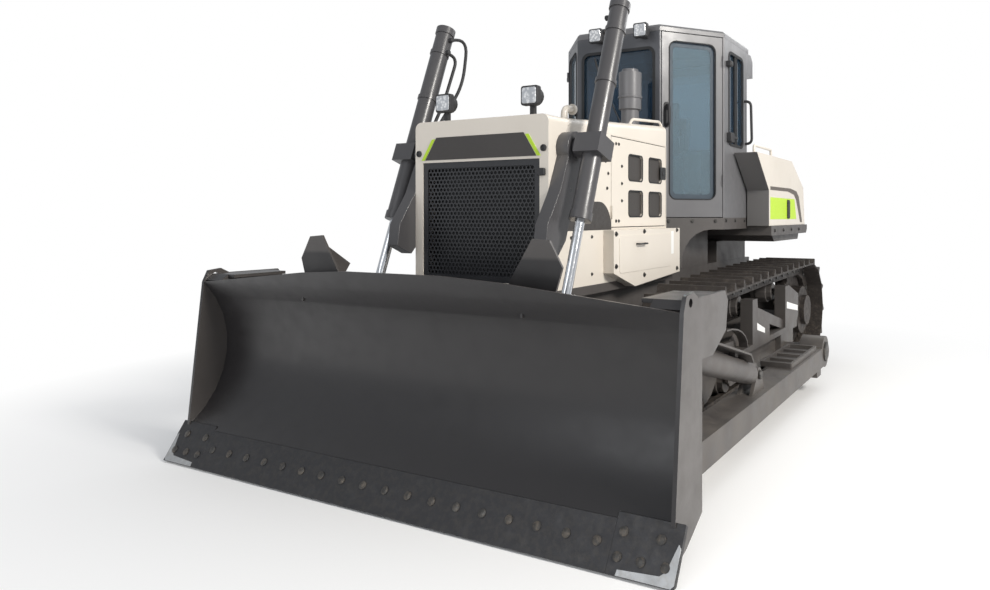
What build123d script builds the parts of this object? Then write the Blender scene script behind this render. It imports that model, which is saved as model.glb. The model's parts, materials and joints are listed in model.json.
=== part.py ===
"""A crawler bulldozer with a straight tilting blade, in millimetres.

X points to the machine's left, Y to the rear and Z up. The origin is on the ground, half way
along the machine and between its tracks.
"""
import math
import os

from build123d import *

# Tracks
GAUGE = 1880.0             # between the middles of the two tracks
SHOE_WIDTH = 510.0
SHOE_PITCH = 203.0
SHOE_COUNT = 38
SHOE_PLATE = 14.0
GROUSER_HEIGHT = 52.0      # above the shoe plate
GROUSER_TIP = 18.0
GROUSER_FOOT = 34.0
CHAIN_DEPTH = 55.0         # from the pin line to the shoe plate
RAIL_DEPTH = 50.0          # from the pin line to the rail the rollers run on
RAIL_WIDTH = 46.0
RAIL_SPACING = 150.0       # between the middles of a chain's two rails
SPROCKET_RADIUS = 404.0    # pin line
IDLER_RADIUS = 385.0       # pin line
SPROCKET_Y = 2036.0
SPROCKET_RISE = 20.0       # the sprocket's lowest pin above the ground run
RUNNING_GAP = 0.3
SPROCKET_TEETH = 25
TOOTH_ROOT = 38.0          # inside the pin line
TOOTH_TIP = 4.0            # outside the pin line
CARRIER_LIFT = 10.0        # the top run over the straight line between the wheels

# Wheels inside the tracks
ROLLER_COUNT = 6
ROLLER_RADIUS = 92.0
ROLLER_PITCH = 335.0
FIRST_ROLLER = 475.0       # behind the idler
CARRIER_RADIUS = 80.0
CARRIER_Y = (190.0, 1150.0)
CARRIER_BOX = 75.0          # the post beside a carrier roller, across the machine
CARRIER_PLATE = 25.0
DRUM_SIDES = 12            # of wheels and rollers, which are many-sided
ROUND_SIDES = 16           # of lamps and other small drums
WHEEL_WIDTH = 190.0
FLANGE_HEIGHT = 18.0
TRACK_FRAME_WIDTH = 250.0
TRACK_FRAME_LOW = 395.0
TRACK_FRAME_HIGH = 600.0
TRACK_FRAME_WALL = 20.0
ROLLER_GUARD_LOW = 235.0
ROLLER_AXLE = 30.0
LEDGE_WIDTH = CARRIER_BOX + CARRIER_PLATE
LEDGE_TOP = 500.0
FORK_REACH = 470.0         # of the idler's forks behind its axle
FORK_THICKNESS = 30.0
LEDGE_ENDS = (-520.0, 1500.0)
COVER_HEIGHT = 200.0       # of the curved cover over the recoil spring
COVER_LENGTH = 480.0

# Main frame and drive
HULL_HALF = 430.0
HULL_LOW = 420.0
HULL_HIGH = 1050.0
HULL_FRONT = -1640.0
HULL_REAR = 2330.0
DECK_THICKNESS = 60.0      # the plate that the hood stands on
CASE_RADIUS = 235.0
DRAWBAR_LENGTH = 245.0
DRAWBAR_PIN_HOLE = 26.0
DRAWBAR_THICKNESS = 60.0
DRAWBAR_HALF_WIDTH = 110.0

# Hood
HOOD_HALF = 512.0
GUARD_FRONT = -1695.0
GUARD_DEPTH = 200.0
GUARD_WALL = 25.0
GRILLE_HALF = 449.0
GRILLE_LOW = 1090.0
GRILLE_HIGH = 1832.0
GRILLE_THICKNESS = 12.0
GRILLE_PITCH = 80.0        # between holes in a row
GRILLE_HOLE = 33.0         # to a hole's corners
GRILLE_BORDER = 42.0
ENGINE_HALF = 330.0
ENGINE_LENGTH = 1100.0
ENGINE_TOP = 1850.0
RADIATOR_GAP = 85.0        # behind the guard's front wall
RADIATOR_DEPTH = 80.0
HOOD_FRONT_HEIGHT = 2093.0
HOOD_REAR_HEIGHT = 2205.0
HOOD_REAR = -45.0
HOOD_CORNER = 45.0
SHEET = 12.0
PANEL_TOP = 2045.0
VENT_DOOR_FRONT = -946.0
VENT_DOOR_REAR = -57.0
VENT_DOOR_LOW = 1415.0
VENT_DOOR_HIGH = 2040.0
DOOR_GAP = 6.0
VENT_WIDTH = 225.0
VENT_HEIGHT = 188.0
VENT_CORNER = 28.0
VENT_PLACES = ((-578.0, 1582.0), (-578.0, 1839.0), (-249.0, 1582.0), (-249.0, 1839.0))
TOOL_BOX_DEPTH = 80.0
TOOL_BOX_LOW = 1055.0
TOOL_BOX_HIGH = 1400.0
TOOL_BOX_REAR = 40.0

# Cab and platform
CAB_FRONT = 95.0
CAB_FRONT_HALF = 390.0
CAB_SIDE_HALF = 780.0
CAB_CORNER_Y = 560.0
CAB_REAR = 1175.0
CAB_FLOOR = 1480.0
CAB_SILL = 2080.0
WINDSCREEN_LOW = 2230.0
WINDOW_HEAD = 90.0         # from the cab's top to its windows
WINDOW_CORNER = 60.0
CAB_ROOF = 3010.0
ROOF_THICKNESS = 55.0
ROOF_REAR = 1220.0
ROOF_STEP = 18.0           # how far the roof's upper plate stands inside its lower one
AC_HALF = 700.0
AC_LENGTH = 380.0
AC_HEIGHT = 215.0
PLATFORM_THICKNESS = 100.0
CAB_WALL = 45.0
GLASS = 6.0
DOOR_FRAME = 70.0
DOOR_EDGE = 20.0           # from the cab's corner to the door's edge
DOOR_HINGE_LOW = 270.0     # above the cab's floor
DOOR_HINGE_HIGH = 250.0    # below the cab's top
SKIRT_WIDTH = 205.0
SKIRT_LOW = 1060.0
SKIRT_ARC = 270.0
SKIRT_THICKNESS = 14.0

# Rear tank
TANK_HALF = 1000.0
TANK_LOW = 1405.0
TANK_HIGH = 2050.0
TANK_FRONT = 1141.0
TANK_NOSE = 776.0          # the front of its two upper wings
TANK_KNEE = 1732.0         # where the wings begin
TANK_REAR = 2500.0
TANK_SHOULDER = 1800.0
TANK_REAR_HIGH = 1965.0
TANK_CAB_GAP = 12.0
DECK_REAR = 2564.0
DECK_DEPTH = 90.0

# Blade
BLADE_HALF = 1650.0
BLADE_EDGE_Y = -2575.0
BLADE_EDGE_Z = 10.0
BLADE_FOOT_Y = -2457.0     # where the mouldboard meets the cutting edge
BLADE_FOOT_Z = 200.0
BLADE_TOP_Y = -2366.0
BLADE_TOP_Z = 1081.0
CROWN_SHOULDER = (700.0, 92.0)     # from the middle, and above the ends of the top edge
CROWN_MIDDLE = (330.0, 112.0)
CROWN_LEAN = 0.42          # how far the top strip leans forward for its height
MOULDBOARD = 16.0
MOULDBOARD_RADIUS = 600.0
BOARD_STEPS = 8
END_PLATE = 20.0
CUTTING_EDGE = 25.0
END_BIT_INSET = 270.0      # from the blade's end to the cutting edge's end
END_BIT_WIDTH = 314.0
END_BIT_RISE = 28.0        # above the cutting edge
BLADE_BACK_Y = -2155.0
CORNER_BOX = (1480.0, -1850.0, 1130.0)   # its inner side, its rear and its top
CORNER_SHELF = 60.0        # how far its top plate reaches in past its inner side
LIFTING_EYE = (-2290.0, 1116.0)
LIFTING_EYE_RADIUS = 20.0
ROD_GUARD_Y = -2205.0
ROD_GUARD = 14.0

# Push arms
ARM_INNER = 1300.0
ARM_WIDTH = 200.0
ARM_LOW = 180.0
ARM_HEIGHT = 165.0
ARM_FRONT = BLADE_BACK_Y
PIVOT_Y = 1175.0
PIVOT_Z = 300.0
PIVOT_RADIUS = 60.0
ARM_EYE_RADIUS = 135.0
ARM_PAD = 50.0
STRUT_RADIUS = 74.0
STRUT_COVER = 95.0         # from the strut's line to its cover plate
STRUT_FOOT = (-640.0, 455.0)
STRUT_TOP = (-2090.0, 860.0)

# Lift cylinders
CYLINDER_X = 713.0
YOKE_Y = -1520.0
YOKE_Z = 1900.0
EYE_Y = -2017.0
EYE_Z = 506.0
BARREL_RADIUS = 60.0
BARREL_BORE = 48.0
BARREL_ABOVE = 998.0       # from the yoke to the barrel's top
BARREL_BELOW = 460.0
GLAND = 80.0
ROD_RADIUS = 29.0
PISTON_DEPTH = 60.0
ROD_LENGTH = 1443.0        # from the eye to the piston
EYE_RADIUS = 55.0
EYE_WIDTH = 60.0
EYE_SIDE_GAP = 6.0
EAR = 22.0                 # thickness of the plates beside an eye
ROD_CLEARANCE = 0.05
YOKE_PIN = 35.0
LAMP_RADIUS = 56.0
LAMP_DEPTH = 70.0
HOOD_LAMP = (335.0, -1560.0, 2218.0)
CAB_LAMPS = (268.0, -150.0)
CLEANER_PLACE = (245.0, -150.0)
CLEANER_TOP = 2655.0
CLAMP = 85.0               # half the size of the block round a barrel
CLAMP_DEPTH = 60.0
BRACKET_DEPTH = 85.0
BRACKET_DRUM = 100.0
TRUNNION_CAP = 62.0
PIPE_RADIUS = 9.0
PIPE_OFFSET = 74.0         # from the barrel's line to the pipe behind it
PIPE_BEND = 13.0
PORT_INSET = 45.0          # from a barrel's end to its port

# Hinges of the doors
HINGE_RADIUS = 8.0
HINGE_LEAF = 16.0
HINGE_THICKNESS = 4.0
HINGE_HEIGHT = 90.0


def prism_x(points, low, high):
    """The outline of (y, z) points carried along X from low to high."""
    face = make_face(Polyline([(low, y, z) for y, z in points], close=True))
    return extrude(face, amount=high - low, dir=(1, 0, 0))


def prism_y(points, low, high):
    """The outline of (x, z) points carried along Y from low to high."""
    face = make_face(Polyline([(x, low, z) for x, z in points], close=True))
    return extrude(face, amount=high - low, dir=(0, 1, 0))


def prism_z(points, low, high):
    """The outline of (x, y) points carried along Z from low to high."""
    face = make_face(Polyline([(x, y, low) for x, y in points], close=True))
    return extrude(face, amount=high - low, dir=(0, 0, 1))


def block(x0, x1, y0, y1, z0, z1):
    """A block between two corners."""
    middle = ((x0 + x1) / 2, (y0 + y1) / 2, (z0 + z1) / 2)
    return Pos(*middle) * Box(abs(x1 - x0), abs(y1 - y0), abs(z1 - z0))


def rod_between(start, end, radius):
    """A round bar from one point to another."""
    a, b = Vector(*start), Vector(*end)
    plane = Plane(origin=a, z_dir=(b - a).normalized())
    return extrude(plane * Circle(radius), amount=(b - a).length)


def ring_between(start, end, outer, inner):
    """A tube from one point to another."""
    a, b = Vector(*start), Vector(*end)
    plane = Plane(origin=a, z_dir=(b - a).normalized())
    return extrude(plane * (Circle(outer) - Circle(inner)), amount=(b - a).length)


def wheel_x(x0, x1, y, z, radius):
    """A disc lying across the machine."""
    return rod_between((x0, y, z), (x1, y, z), radius)


def arc_points(centre, radius, start, end, steps):
    """Points along an arc, its angles in degrees from the first axis."""
    points = []
    for step in range(steps + 1):
        a = math.radians(start + (end - start) * step / steps)
        points.append((centre[0] + radius * math.cos(a), centre[1] + radius * math.sin(a)))
    return points


def drum_x(x0, x1, y, z, radius, sides=DRUM_SIDES):
    """A many-sided disc lying across the machine, which keeps the mesh small."""
    return prism_x(arc_points((y, z), radius, 0, 360 - 360 / sides, sides - 1), x0, x1)


def drum_y(x, z, y0, y1, radius):
    """A many-sided disc that faces the front."""
    return prism_y(arc_points((x, z), radius, 0, 360 - 360 / ROUND_SIDES, ROUND_SIDES - 1), y0, y1)


def drum_z(x, y, z0, z1, radius):
    """A many-sided upright drum."""
    return prism_z(arc_points((x, y), radius, 0, 360 - 360 / ROUND_SIDES, ROUND_SIDES - 1), z0, z1)


def window_y(x0, x1, y0, y1, z0, z1):
    """A block with round corners, seen from the front: a window's cutter or its pane."""
    plane = Plane(origin=((x0 + x1) / 2, y0, (z0 + z1) / 2), x_dir=(1, 0, 0), z_dir=(0, 1, 0))
    return extrude(plane * RectangleRounded(x1 - x0, z1 - z0, WINDOW_CORNER), amount=y1 - y0)


def window_x(x0, x1, y0, y1, z0, z1):
    """A block with round corners, seen from the side."""
    plane = Plane(origin=(x0, (y0 + y1) / 2, (z0 + z1) / 2), x_dir=(0, 1, 0), z_dir=(1, 0, 0))
    return extrude(plane * RectangleRounded(y1 - y0, z1 - z0, WINDOW_CORNER), amount=x1 - x0)


def mirrored(shape):
    """The same shape on the machine's other side."""
    return mirror(shape, about=Plane.YZ)


def write(node, *shapes):
    """One STEP file of a node's solids."""
    solids = [s for shape in shapes for s in shape.solids()]
    whole = solids[0] if len(solids) == 1 else Compound(children=solids)
    whole.label = node
    export_step(whole, f"parts/{node}.step")


def write_sides(node, shape):
    """A left and a right node of the same piece."""
    write(f"{node}_left", shape)
    write(f"{node}_right", mirrored(shape))


# Places worked out from the sizes above
TRACK_X = GAUGE / 2
GROUND_PIN_Z = GROUSER_HEIGHT + SHOE_PLATE + CHAIN_DEPTH
SPROCKET_Z = GROUND_PIN_Z + SPROCKET_RADIUS + SPROCKET_RISE
IDLER_Z = GROUND_PIN_Z + IDLER_RADIUS
LOOP_LENGTH = SHOE_COUNT * SHOE_PITCH
IDLER_Y = SPROCKET_Y - (LOOP_LENGTH - math.pi * (SPROCKET_RADIUS + IDLER_RADIUS)) / 2
LIFT_ANGLE = math.atan2(YOKE_Y - EYE_Y, YOKE_Z - EYE_Z)
LIFT_REACH = math.hypot(YOKE_Y - EYE_Y, YOKE_Z - EYE_Z)
CUTTING_EDGE_HALF = BLADE_HALF - END_BIT_INSET
END_BIT_OUTER = CUTTING_EDGE_HALF + END_BIT_WIDTH
DOOR_HINGES = (CAB_FLOOR + DOOR_HINGE_LOW, CAB_ROOF - DOOR_HINGE_HIGH)


def hinge(place, x, side, low):
    """A hinge's moving and fixed halves on a face drawn flat, with X along it and Y into it."""
    halves = []
    for number, way in ((0, side), (1, -side)):
        bottom = low + number * HINGE_HEIGHT / 2
        top = bottom + HINGE_HEIGHT / 2 - RUNNING_GAP
        knuckle = rod_between((x, -HINGE_RADIUS, bottom), (x, -HINGE_RADIUS, top), HINGE_RADIUS)
        leaf = block(x, x + way * HINGE_LEAF, -HINGE_THICKNESS, 0, bottom, top)
        halves.append(place * (knuckle + leaf))
    return halves


def top_run_height(y):
    """The height of the chain's pin line above the ground at a place along its top run."""
    t = (SPROCKET_Y - y) / (SPROCKET_Y - IDLER_Y)
    start, end = SPROCKET_Z + SPROCKET_RADIUS, IDLER_Z + IDLER_RADIUS
    return start + (end - start) * t + CARRIER_LIFT * math.sin(math.pi * t)


def carrier_height(y):
    """The height of a carrier roller's axle, with the chain's rails resting on it."""
    return top_run_height(y) - RAIL_DEPTH - CARRIER_RADIUS - 2 * RUNNING_GAP


def loop_point(distance):
    """The point (y, z) at a distance along the chain's pin line.

    The line starts under the idler, runs back along the ground, over the sprocket and
    forward along the top.
    """
    span = SPROCKET_Y - IDLER_Y
    bottom = math.hypot(span, SPROCKET_RISE)
    sprocket_arc = math.pi * SPROCKET_RADIUS
    idler_arc = math.pi * IDLER_RADIUS
    top = LOOP_LENGTH - bottom - sprocket_arc - idler_arc
    s = distance % LOOP_LENGTH
    if s < bottom:
        t = s / bottom
        return IDLER_Y + span * t, GROUND_PIN_Z + SPROCKET_RISE * max(0.0, t - 0.9) / 0.1
    s -= bottom
    if s < sprocket_arc:
        a = -math.pi / 2 + s / SPROCKET_RADIUS
        return SPROCKET_Y + SPROCKET_RADIUS * math.cos(a), SPROCKET_Z + SPROCKET_RADIUS * math.sin(a)
    s -= sprocket_arc
    if s < top:
        y = SPROCKET_Y - span * s / top
        return y, top_run_height(y)
    s -= top
    a = math.pi / 2 + s / IDLER_RADIUS
    return IDLER_Y + IDLER_RADIUS * math.cos(a), IDLER_Z + IDLER_RADIUS * math.sin(a)


def pins():
    """The places (y, z) of the chain's pins."""
    return [loop_point(number * SHOE_PITCH) for number in range(SHOE_COUNT)]


def link_frame(a, b):
    """The way along a link from one pin to the next and its direction out of the loop."""
    length = math.hypot(b[0] - a[0], b[1] - a[1])
    along = ((b[0] - a[0]) / length, (b[1] - a[1]) / length)
    return along, (along[1], -along[0])


def shoe_points():
    """The outer outline of the shoes, grouser by grouser, round the whole loop."""
    points = []
    half = SHOE_PITCH / 2 - 6.0
    plate = CHAIN_DEPTH + SHOE_PLATE
    tip = plate + GROUSER_HEIGHT
    profile = ((-half, plate), (half - GROUSER_FOOT, plate), (half - GROUSER_TIP, tip), (half, tip))
    line = pins()
    for number, a in enumerate(line):
        b = line[(number + 1) % SHOE_COUNT]
        along, out = link_frame(a, b)
        middle = ((a[0] + b[0]) / 2, (a[1] + b[1]) / 2)
        for step, rise in profile:
            points.append((middle[0] + along[0] * step + out[0] * rise,
                           middle[1] + along[1] * step + out[1] * rise))
    return points


def pin_line(offset):
    """The closed line through the pins with each side moved out by an offset, as points."""
    line = pins()
    points = []
    for number, here in enumerate(line):
        before = link_frame(line[number - 1], here)[1]
        after = link_frame(here, line[(number + 1) % SHOE_COUNT])[1]
        share = offset / (1 + before[0] * after[0] + before[1] * after[1])
        points.append((here[0] + (before[0] + after[0]) * share, here[1] + (before[1] + after[1]) * share))
    return points


def track():
    """One closed track: shoes with grousers on two rails of chain links."""
    half = SHOE_WIDTH / 2
    shoes = prism_x(shoe_points(), TRACK_X - half, TRACK_X + half)
    shoes -= prism_x(pin_line(CHAIN_DEPTH), TRACK_X - half, TRACK_X + half)
    for side in (-1, 1):
        middle = TRACK_X + side * RAIL_SPACING / 2
        rail = prism_x(pin_line(CHAIN_DEPTH + 1.0), middle - RAIL_WIDTH / 2, middle + RAIL_WIDTH / 2)
        rail -= prism_x(pin_line(-RAIL_DEPTH), middle - RAIL_WIDTH / 2, middle + RAIL_WIDTH / 2)
        shoes += rail
    return shoes


def running_wheel(y, z, radius, axle, sides=DRUM_SIDES):
    """A wheel that runs on both rails of a chain, with a flange between them and its axle."""
    half = WHEEL_WIDTH / 2
    inside = RAIL_SPACING / 2 - RAIL_WIDTH / 2 - 4.0
    wheel = drum_x(TRACK_X - half, TRACK_X + half, y, z, radius, sides)
    wheel += drum_x(TRACK_X - inside, TRACK_X + inside, y, z, radius + FLANGE_HEIGHT, sides)
    ends = TRACK_FRAME_WIDTH / 2
    return wheel + drum_x(TRACK_X - ends, TRACK_X + ends, y, z, axle, sides)


def sprocket_outline():
    """The toothed ring's outline, with a pin of the chain in the middle of a gap."""
    rear_pin = max(pins())
    phase = math.atan2(rear_pin[1] - SPROCKET_Z, rear_pin[0] - SPROCKET_Y)
    root, tip = SPROCKET_RADIUS - TOOTH_ROOT, SPROCKET_RADIUS + TOOTH_TIP
    step = 2 * math.pi / SPROCKET_TEETH
    points = []
    for tooth in range(SPROCKET_TEETH):
        for turn, radius in ((-0.28, root), (0.28, root), (0.41, tip), (0.59, tip)):
            a = phase + (tooth + turn) * step
            points.append((SPROCKET_Y + radius * math.cos(a), SPROCKET_Z + radius * math.sin(a)))
    return points


def sprocket():
    """The drive sprocket: a toothed ring between the chain's rails with its hub."""
    inside = RAIL_SPACING / 2 - RAIL_WIDTH / 2 - 6.0
    ring = prism_x(sprocket_outline(), TRACK_X - inside, TRACK_X + inside)
    hub = drum_x(TRACK_X - 70, TRACK_X + 150, SPROCKET_Y, SPROCKET_Z, 240.0, ROUND_SIDES)
    cap = drum_x(TRACK_X + 150, TRACK_X + 200, SPROCKET_Y, SPROCKET_Z, 150.0, ROUND_SIDES)
    return ring + hub + cap


def carrier_bracket(y, x, plate):
    """A carrier roller's bracket outside the track frame: a post and its outer plate."""
    z = carrier_height(y) + 60
    post = block(x, x + CARRIER_BOX, y - 60, y + 60, LEDGE_TOP, z)
    return post + prism_x(plate, x + CARRIER_BOX, x + LEDGE_WIDTH)


def spring_cover(x0, x1):
    """The curved cover over the recoil spring, a quarter of an ellipse with an open end."""
    front = LEDGE_ENDS[0] + 60
    outer, inner = [], []
    for point in arc_points((0, 0), 1.0, 90, 0, 6):
        outer.append((front + COVER_LENGTH * point[0], LEDGE_TOP + COVER_HEIGHT * point[1]))
        inner.append((front + (COVER_LENGTH - SHEET) * point[0],
                      LEDGE_TOP + (COVER_HEIGHT - SHEET) * point[1]))
    return prism_x(outer + inner[::-1], x0, x1)


def track_frame():
    """The welded box beam that carries the rollers, idler and recoil spring."""
    x0 = TRACK_X - TRACK_FRAME_WIDTH / 2
    x1 = TRACK_X + TRACK_FRAME_WIDTH / 2
    front = IDLER_Y + IDLER_RADIUS + 10.0
    rear = SPROCKET_Y - SPROCKET_RADIUS - 10.0
    outline = ((front, TRACK_FRAME_LOW), (front, TRACK_FRAME_HIGH - 60), (front + 150, TRACK_FRAME_HIGH),
               (rear - 150, TRACK_FRAME_HIGH), (rear, TRACK_FRAME_HIGH - 60), (rear, TRACK_FRAME_LOW))
    frame = prism_x(outline, x0, x1)
    wall = TRACK_FRAME_WALL
    guard_front = IDLER_Y + FIRST_ROLLER - 100.0
    guard_rear = IDLER_Y + FIRST_ROLLER + ROLLER_PITCH * (ROLLER_COUNT - 1) + 100.0
    for x in (x0 - wall, x1):
        frame += prism_x(((guard_front, TRACK_FRAME_LOW + 60), (guard_front, ROLLER_GUARD_LOW + 40),
                          (guard_front + 40, ROLLER_GUARD_LOW), (guard_rear - 40, ROLLER_GUARD_LOW),
                          (guard_rear, ROLLER_GUARD_LOW + 40), (guard_rear,
                                                                TRACK_FRAME_LOW + 60)), x, x + wall)
    fork_end = IDLER_Y + FORK_REACH + DOOR_GAP
    frame += block(x1, x1 + LEDGE_WIDTH, fork_end, LEDGE_ENDS[1], TRACK_FRAME_LOW + 60, LEDGE_TOP)
    beside_fork = x1 + FORK_THICKNESS + 1
    frame += block(beside_fork, x1 + LEDGE_WIDTH, LEDGE_ENDS[0], fork_end, TRACK_FRAME_LOW + 60, LEDGE_TOP)
    front_y, rear_y = CARRIER_Y
    top = carrier_height(front_y) + 60
    frame += carrier_bracket(front_y, x1, ((front_y - 60, LEDGE_TOP), (front_y - 60, top),
                                           (front_y + 60, top),
                                           (front_y + 90, 700), (front_y + 400, 600), (front_y + 400,
                                                                                       LEDGE_TOP)))
    top = carrier_height(rear_y) + 60
    frame += carrier_bracket(rear_y, x1, ((rear_y - 60, LEDGE_TOP), (rear_y - 60, top), (rear_y + 60, top),
                                          (rear_y + 400, 760), (rear_y + 400, 560), (rear_y + 340,
                                                                                     LEDGE_TOP)))
    frame += prism_x(((front_y + 50, 690), (front_y + 50, 760), (front_y + 160, 760), (rear_y - 60, 570),
                      (rear_y - 60, LEDGE_TOP), (rear_y - 110, LEDGE_TOP)), x1 + 20, x1 + CARRIER_BOX)
    frame += spring_cover(beside_fork, x1 + LEDGE_WIDTH)
    frame += wheel_x(x1, ARM_INNER + ARM_WIDTH - 45, PIVOT_Y, PIVOT_Z, PIVOT_RADIUS)
    frame += block(x1, x1 + 70, PIVOT_Y - 130, PIVOT_Y + 130, PIVOT_Z - 60, TRACK_FRAME_LOW + 120)
    return frame


def idler_forks():
    """The two plates that carry the idler's axle, one each side of it."""
    forks = []
    for side in (-1, 1):
        x = TRACK_X + side * (TRACK_FRAME_WIDTH + FORK_THICKNESS) / 2
        outline = ((IDLER_Y - 70, IDLER_Z - 60), (IDLER_Y - 70, IDLER_Z + 60), (IDLER_Y + 60, IDLER_Z + 75),
                   (IDLER_Y + FORK_REACH, IDLER_Z + 60), (IDLER_Y + FORK_REACH,
                                                          IDLER_Z - 25), (IDLER_Y + 60, IDLER_Z - 75))
        forks.append(prism_x(outline, x - FORK_THICKNESS / 2, x + FORK_THICKNESS / 2))
    return forks


def build_tracks():
    """Both tracks with everything inside them."""
    write_sides("track", track())
    tread = IDLER_RADIUS * math.cos(SHOE_PITCH / 2 / IDLER_RADIUS) - RAIL_DEPTH - RUNNING_GAP
    idler = running_wheel(IDLER_Y, IDLER_Z, tread, 55.0, 2 * DRUM_SIDES)
    write("idlers", idler, mirrored(idler))
    forks = idler_forks()
    write("idler_forks", *forks, *[mirrored(fork) for fork in forks])
    write("sprockets", sprocket(), mirrored(sprocket()))
    write_sides("track_frame", track_frame())
    roller_z = GROUND_PIN_Z + RAIL_DEPTH + ROLLER_RADIUS + RUNNING_GAP
    first = IDLER_Y + FIRST_ROLLER
    rollers = [running_wheel(first + n * ROLLER_PITCH, roller_z, ROLLER_RADIUS, ROLLER_AXLE)
               for n in range(ROLLER_COUNT)]
    write("track_rollers", *rollers, *[mirrored(roller) for roller in rollers])
    carriers = []
    for y in CARRIER_Y:
        carriers.append(running_wheel(y, carrier_height(y), CARRIER_RADIUS, ROLLER_AXLE))
    write("carrier_rollers", *carriers, *[mirrored(carrier) for carrier in carriers])


def final_drive():
    """The round case from the hull out to the sprocket."""
    inner = HULL_HALF
    outer = TRACK_X - 70.0
    case = wheel_x(inner, outer, SPROCKET_Y, SPROCKET_Z, CASE_RADIUS)
    return case


def build_hull():
    """The main frame, the masses inside it and what the tracks hang on."""
    outline = ((HULL_FRONT, HULL_LOW + 180), (HULL_FRONT, HULL_HIGH), (HULL_REAR, HULL_HIGH),
               (HULL_REAR, HULL_LOW + 120), (HULL_REAR - 250, HULL_LOW), (HULL_FRONT + 350, HULL_LOW))
    hull = prism_x(outline, -HULL_HALF, HULL_HALF)
    hull += block(-HOOD_HALF, HOOD_HALF, GUARD_FRONT, CAB_FRONT, HULL_HIGH - DECK_THICKNESS, HULL_HIGH)
    write("main_frame", hull)
    write("final_drives", final_drive(), mirrored(final_drive()))
    engine_rear = HOOD_REAR - 105.0
    write("engine", block(-ENGINE_HALF, ENGINE_HALF, engine_rear - ENGINE_LENGTH, engine_rear, HULL_HIGH,
                          ENGINE_TOP))
    front = GUARD_FRONT + GUARD_WALL + RADIATOR_GAP
    radiator = block(-GRILLE_HALF, GRILLE_HALF, front, front + RADIATOR_DEPTH, HULL_HIGH, GRILLE_HIGH + 100)
    write("radiator", radiator)
    bar = DRAWBAR_THICKNESS / 2
    drawbar = block(-DRAWBAR_HALF_WIDTH, DRAWBAR_HALF_WIDTH, HULL_REAR, HULL_REAR + DRAWBAR_LENGTH,
                    560 - bar, 560 + bar)
    drawbar -= Pos(0, HULL_REAR + DRAWBAR_LENGTH - 80, 560) * Cylinder(DRAWBAR_PIN_HOLE,
                                                                       DRAWBAR_THICKNESS * 2)
    write("drawbar", drawbar)
    beam = block(HULL_HALF, TRACK_X - TRACK_FRAME_WIDTH / 2, 300, 480, 480, 590)
    shaft = block(HULL_HALF, TRACK_X - TRACK_FRAME_WIDTH / 2, 1230, 1400, 480, 590)
    write("frame_beams", beam, shaft, mirrored(beam), mirrored(shaft))


def grille_plate():
    """The grille: a plate with staggered rows of holes inside its border."""
    width, height = 2 * GRILLE_HALF, GRILLE_HIGH - GRILLE_LOW
    row_pitch = GRILLE_PITCH * math.sqrt(3) / 2
    rows = int((height - 2 * GRILLE_BORDER - 2 * GRILLE_HOLE) / row_pitch) + 1
    columns = int((width - 2 * GRILLE_BORDER - 2 * GRILLE_HOLE) / GRILLE_PITCH) + 1
    holes = []
    for row in range(rows):
        count = columns - row % 2
        for number in range(count):
            place = Pos((number - (count - 1) / 2) * GRILLE_PITCH, (row - (rows - 1) / 2) * row_pitch)
            holes.append(place * RegularPolygon(GRILLE_HOLE, 6, rotation=30))
    plane = Plane(origin=(0, GUARD_FRONT + 5, GRILLE_LOW + height / 2), x_dir=(1, 0, 0), z_dir=(0, 1, 0))
    return extrude(plane * (Rectangle(width, height) - holes), amount=GRILLE_THICKNESS)


def vent_cutter(y, z):
    """A vent's opening in a hood door, with its corners cut off."""
    w, h, c = VENT_WIDTH / 2, VENT_HEIGHT / 2, VENT_CORNER
    corners = ((-w, c - h), (-w, h - c), (c - w, h), (w - c, h), (w, h - c), (w, c - h), (w - c, -h),
               (c - w, -h))
    return prism_x([(y + dy, z + dz) for dy, dz in corners], HOOD_HALF - SHEET, HOOD_HALF)


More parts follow.
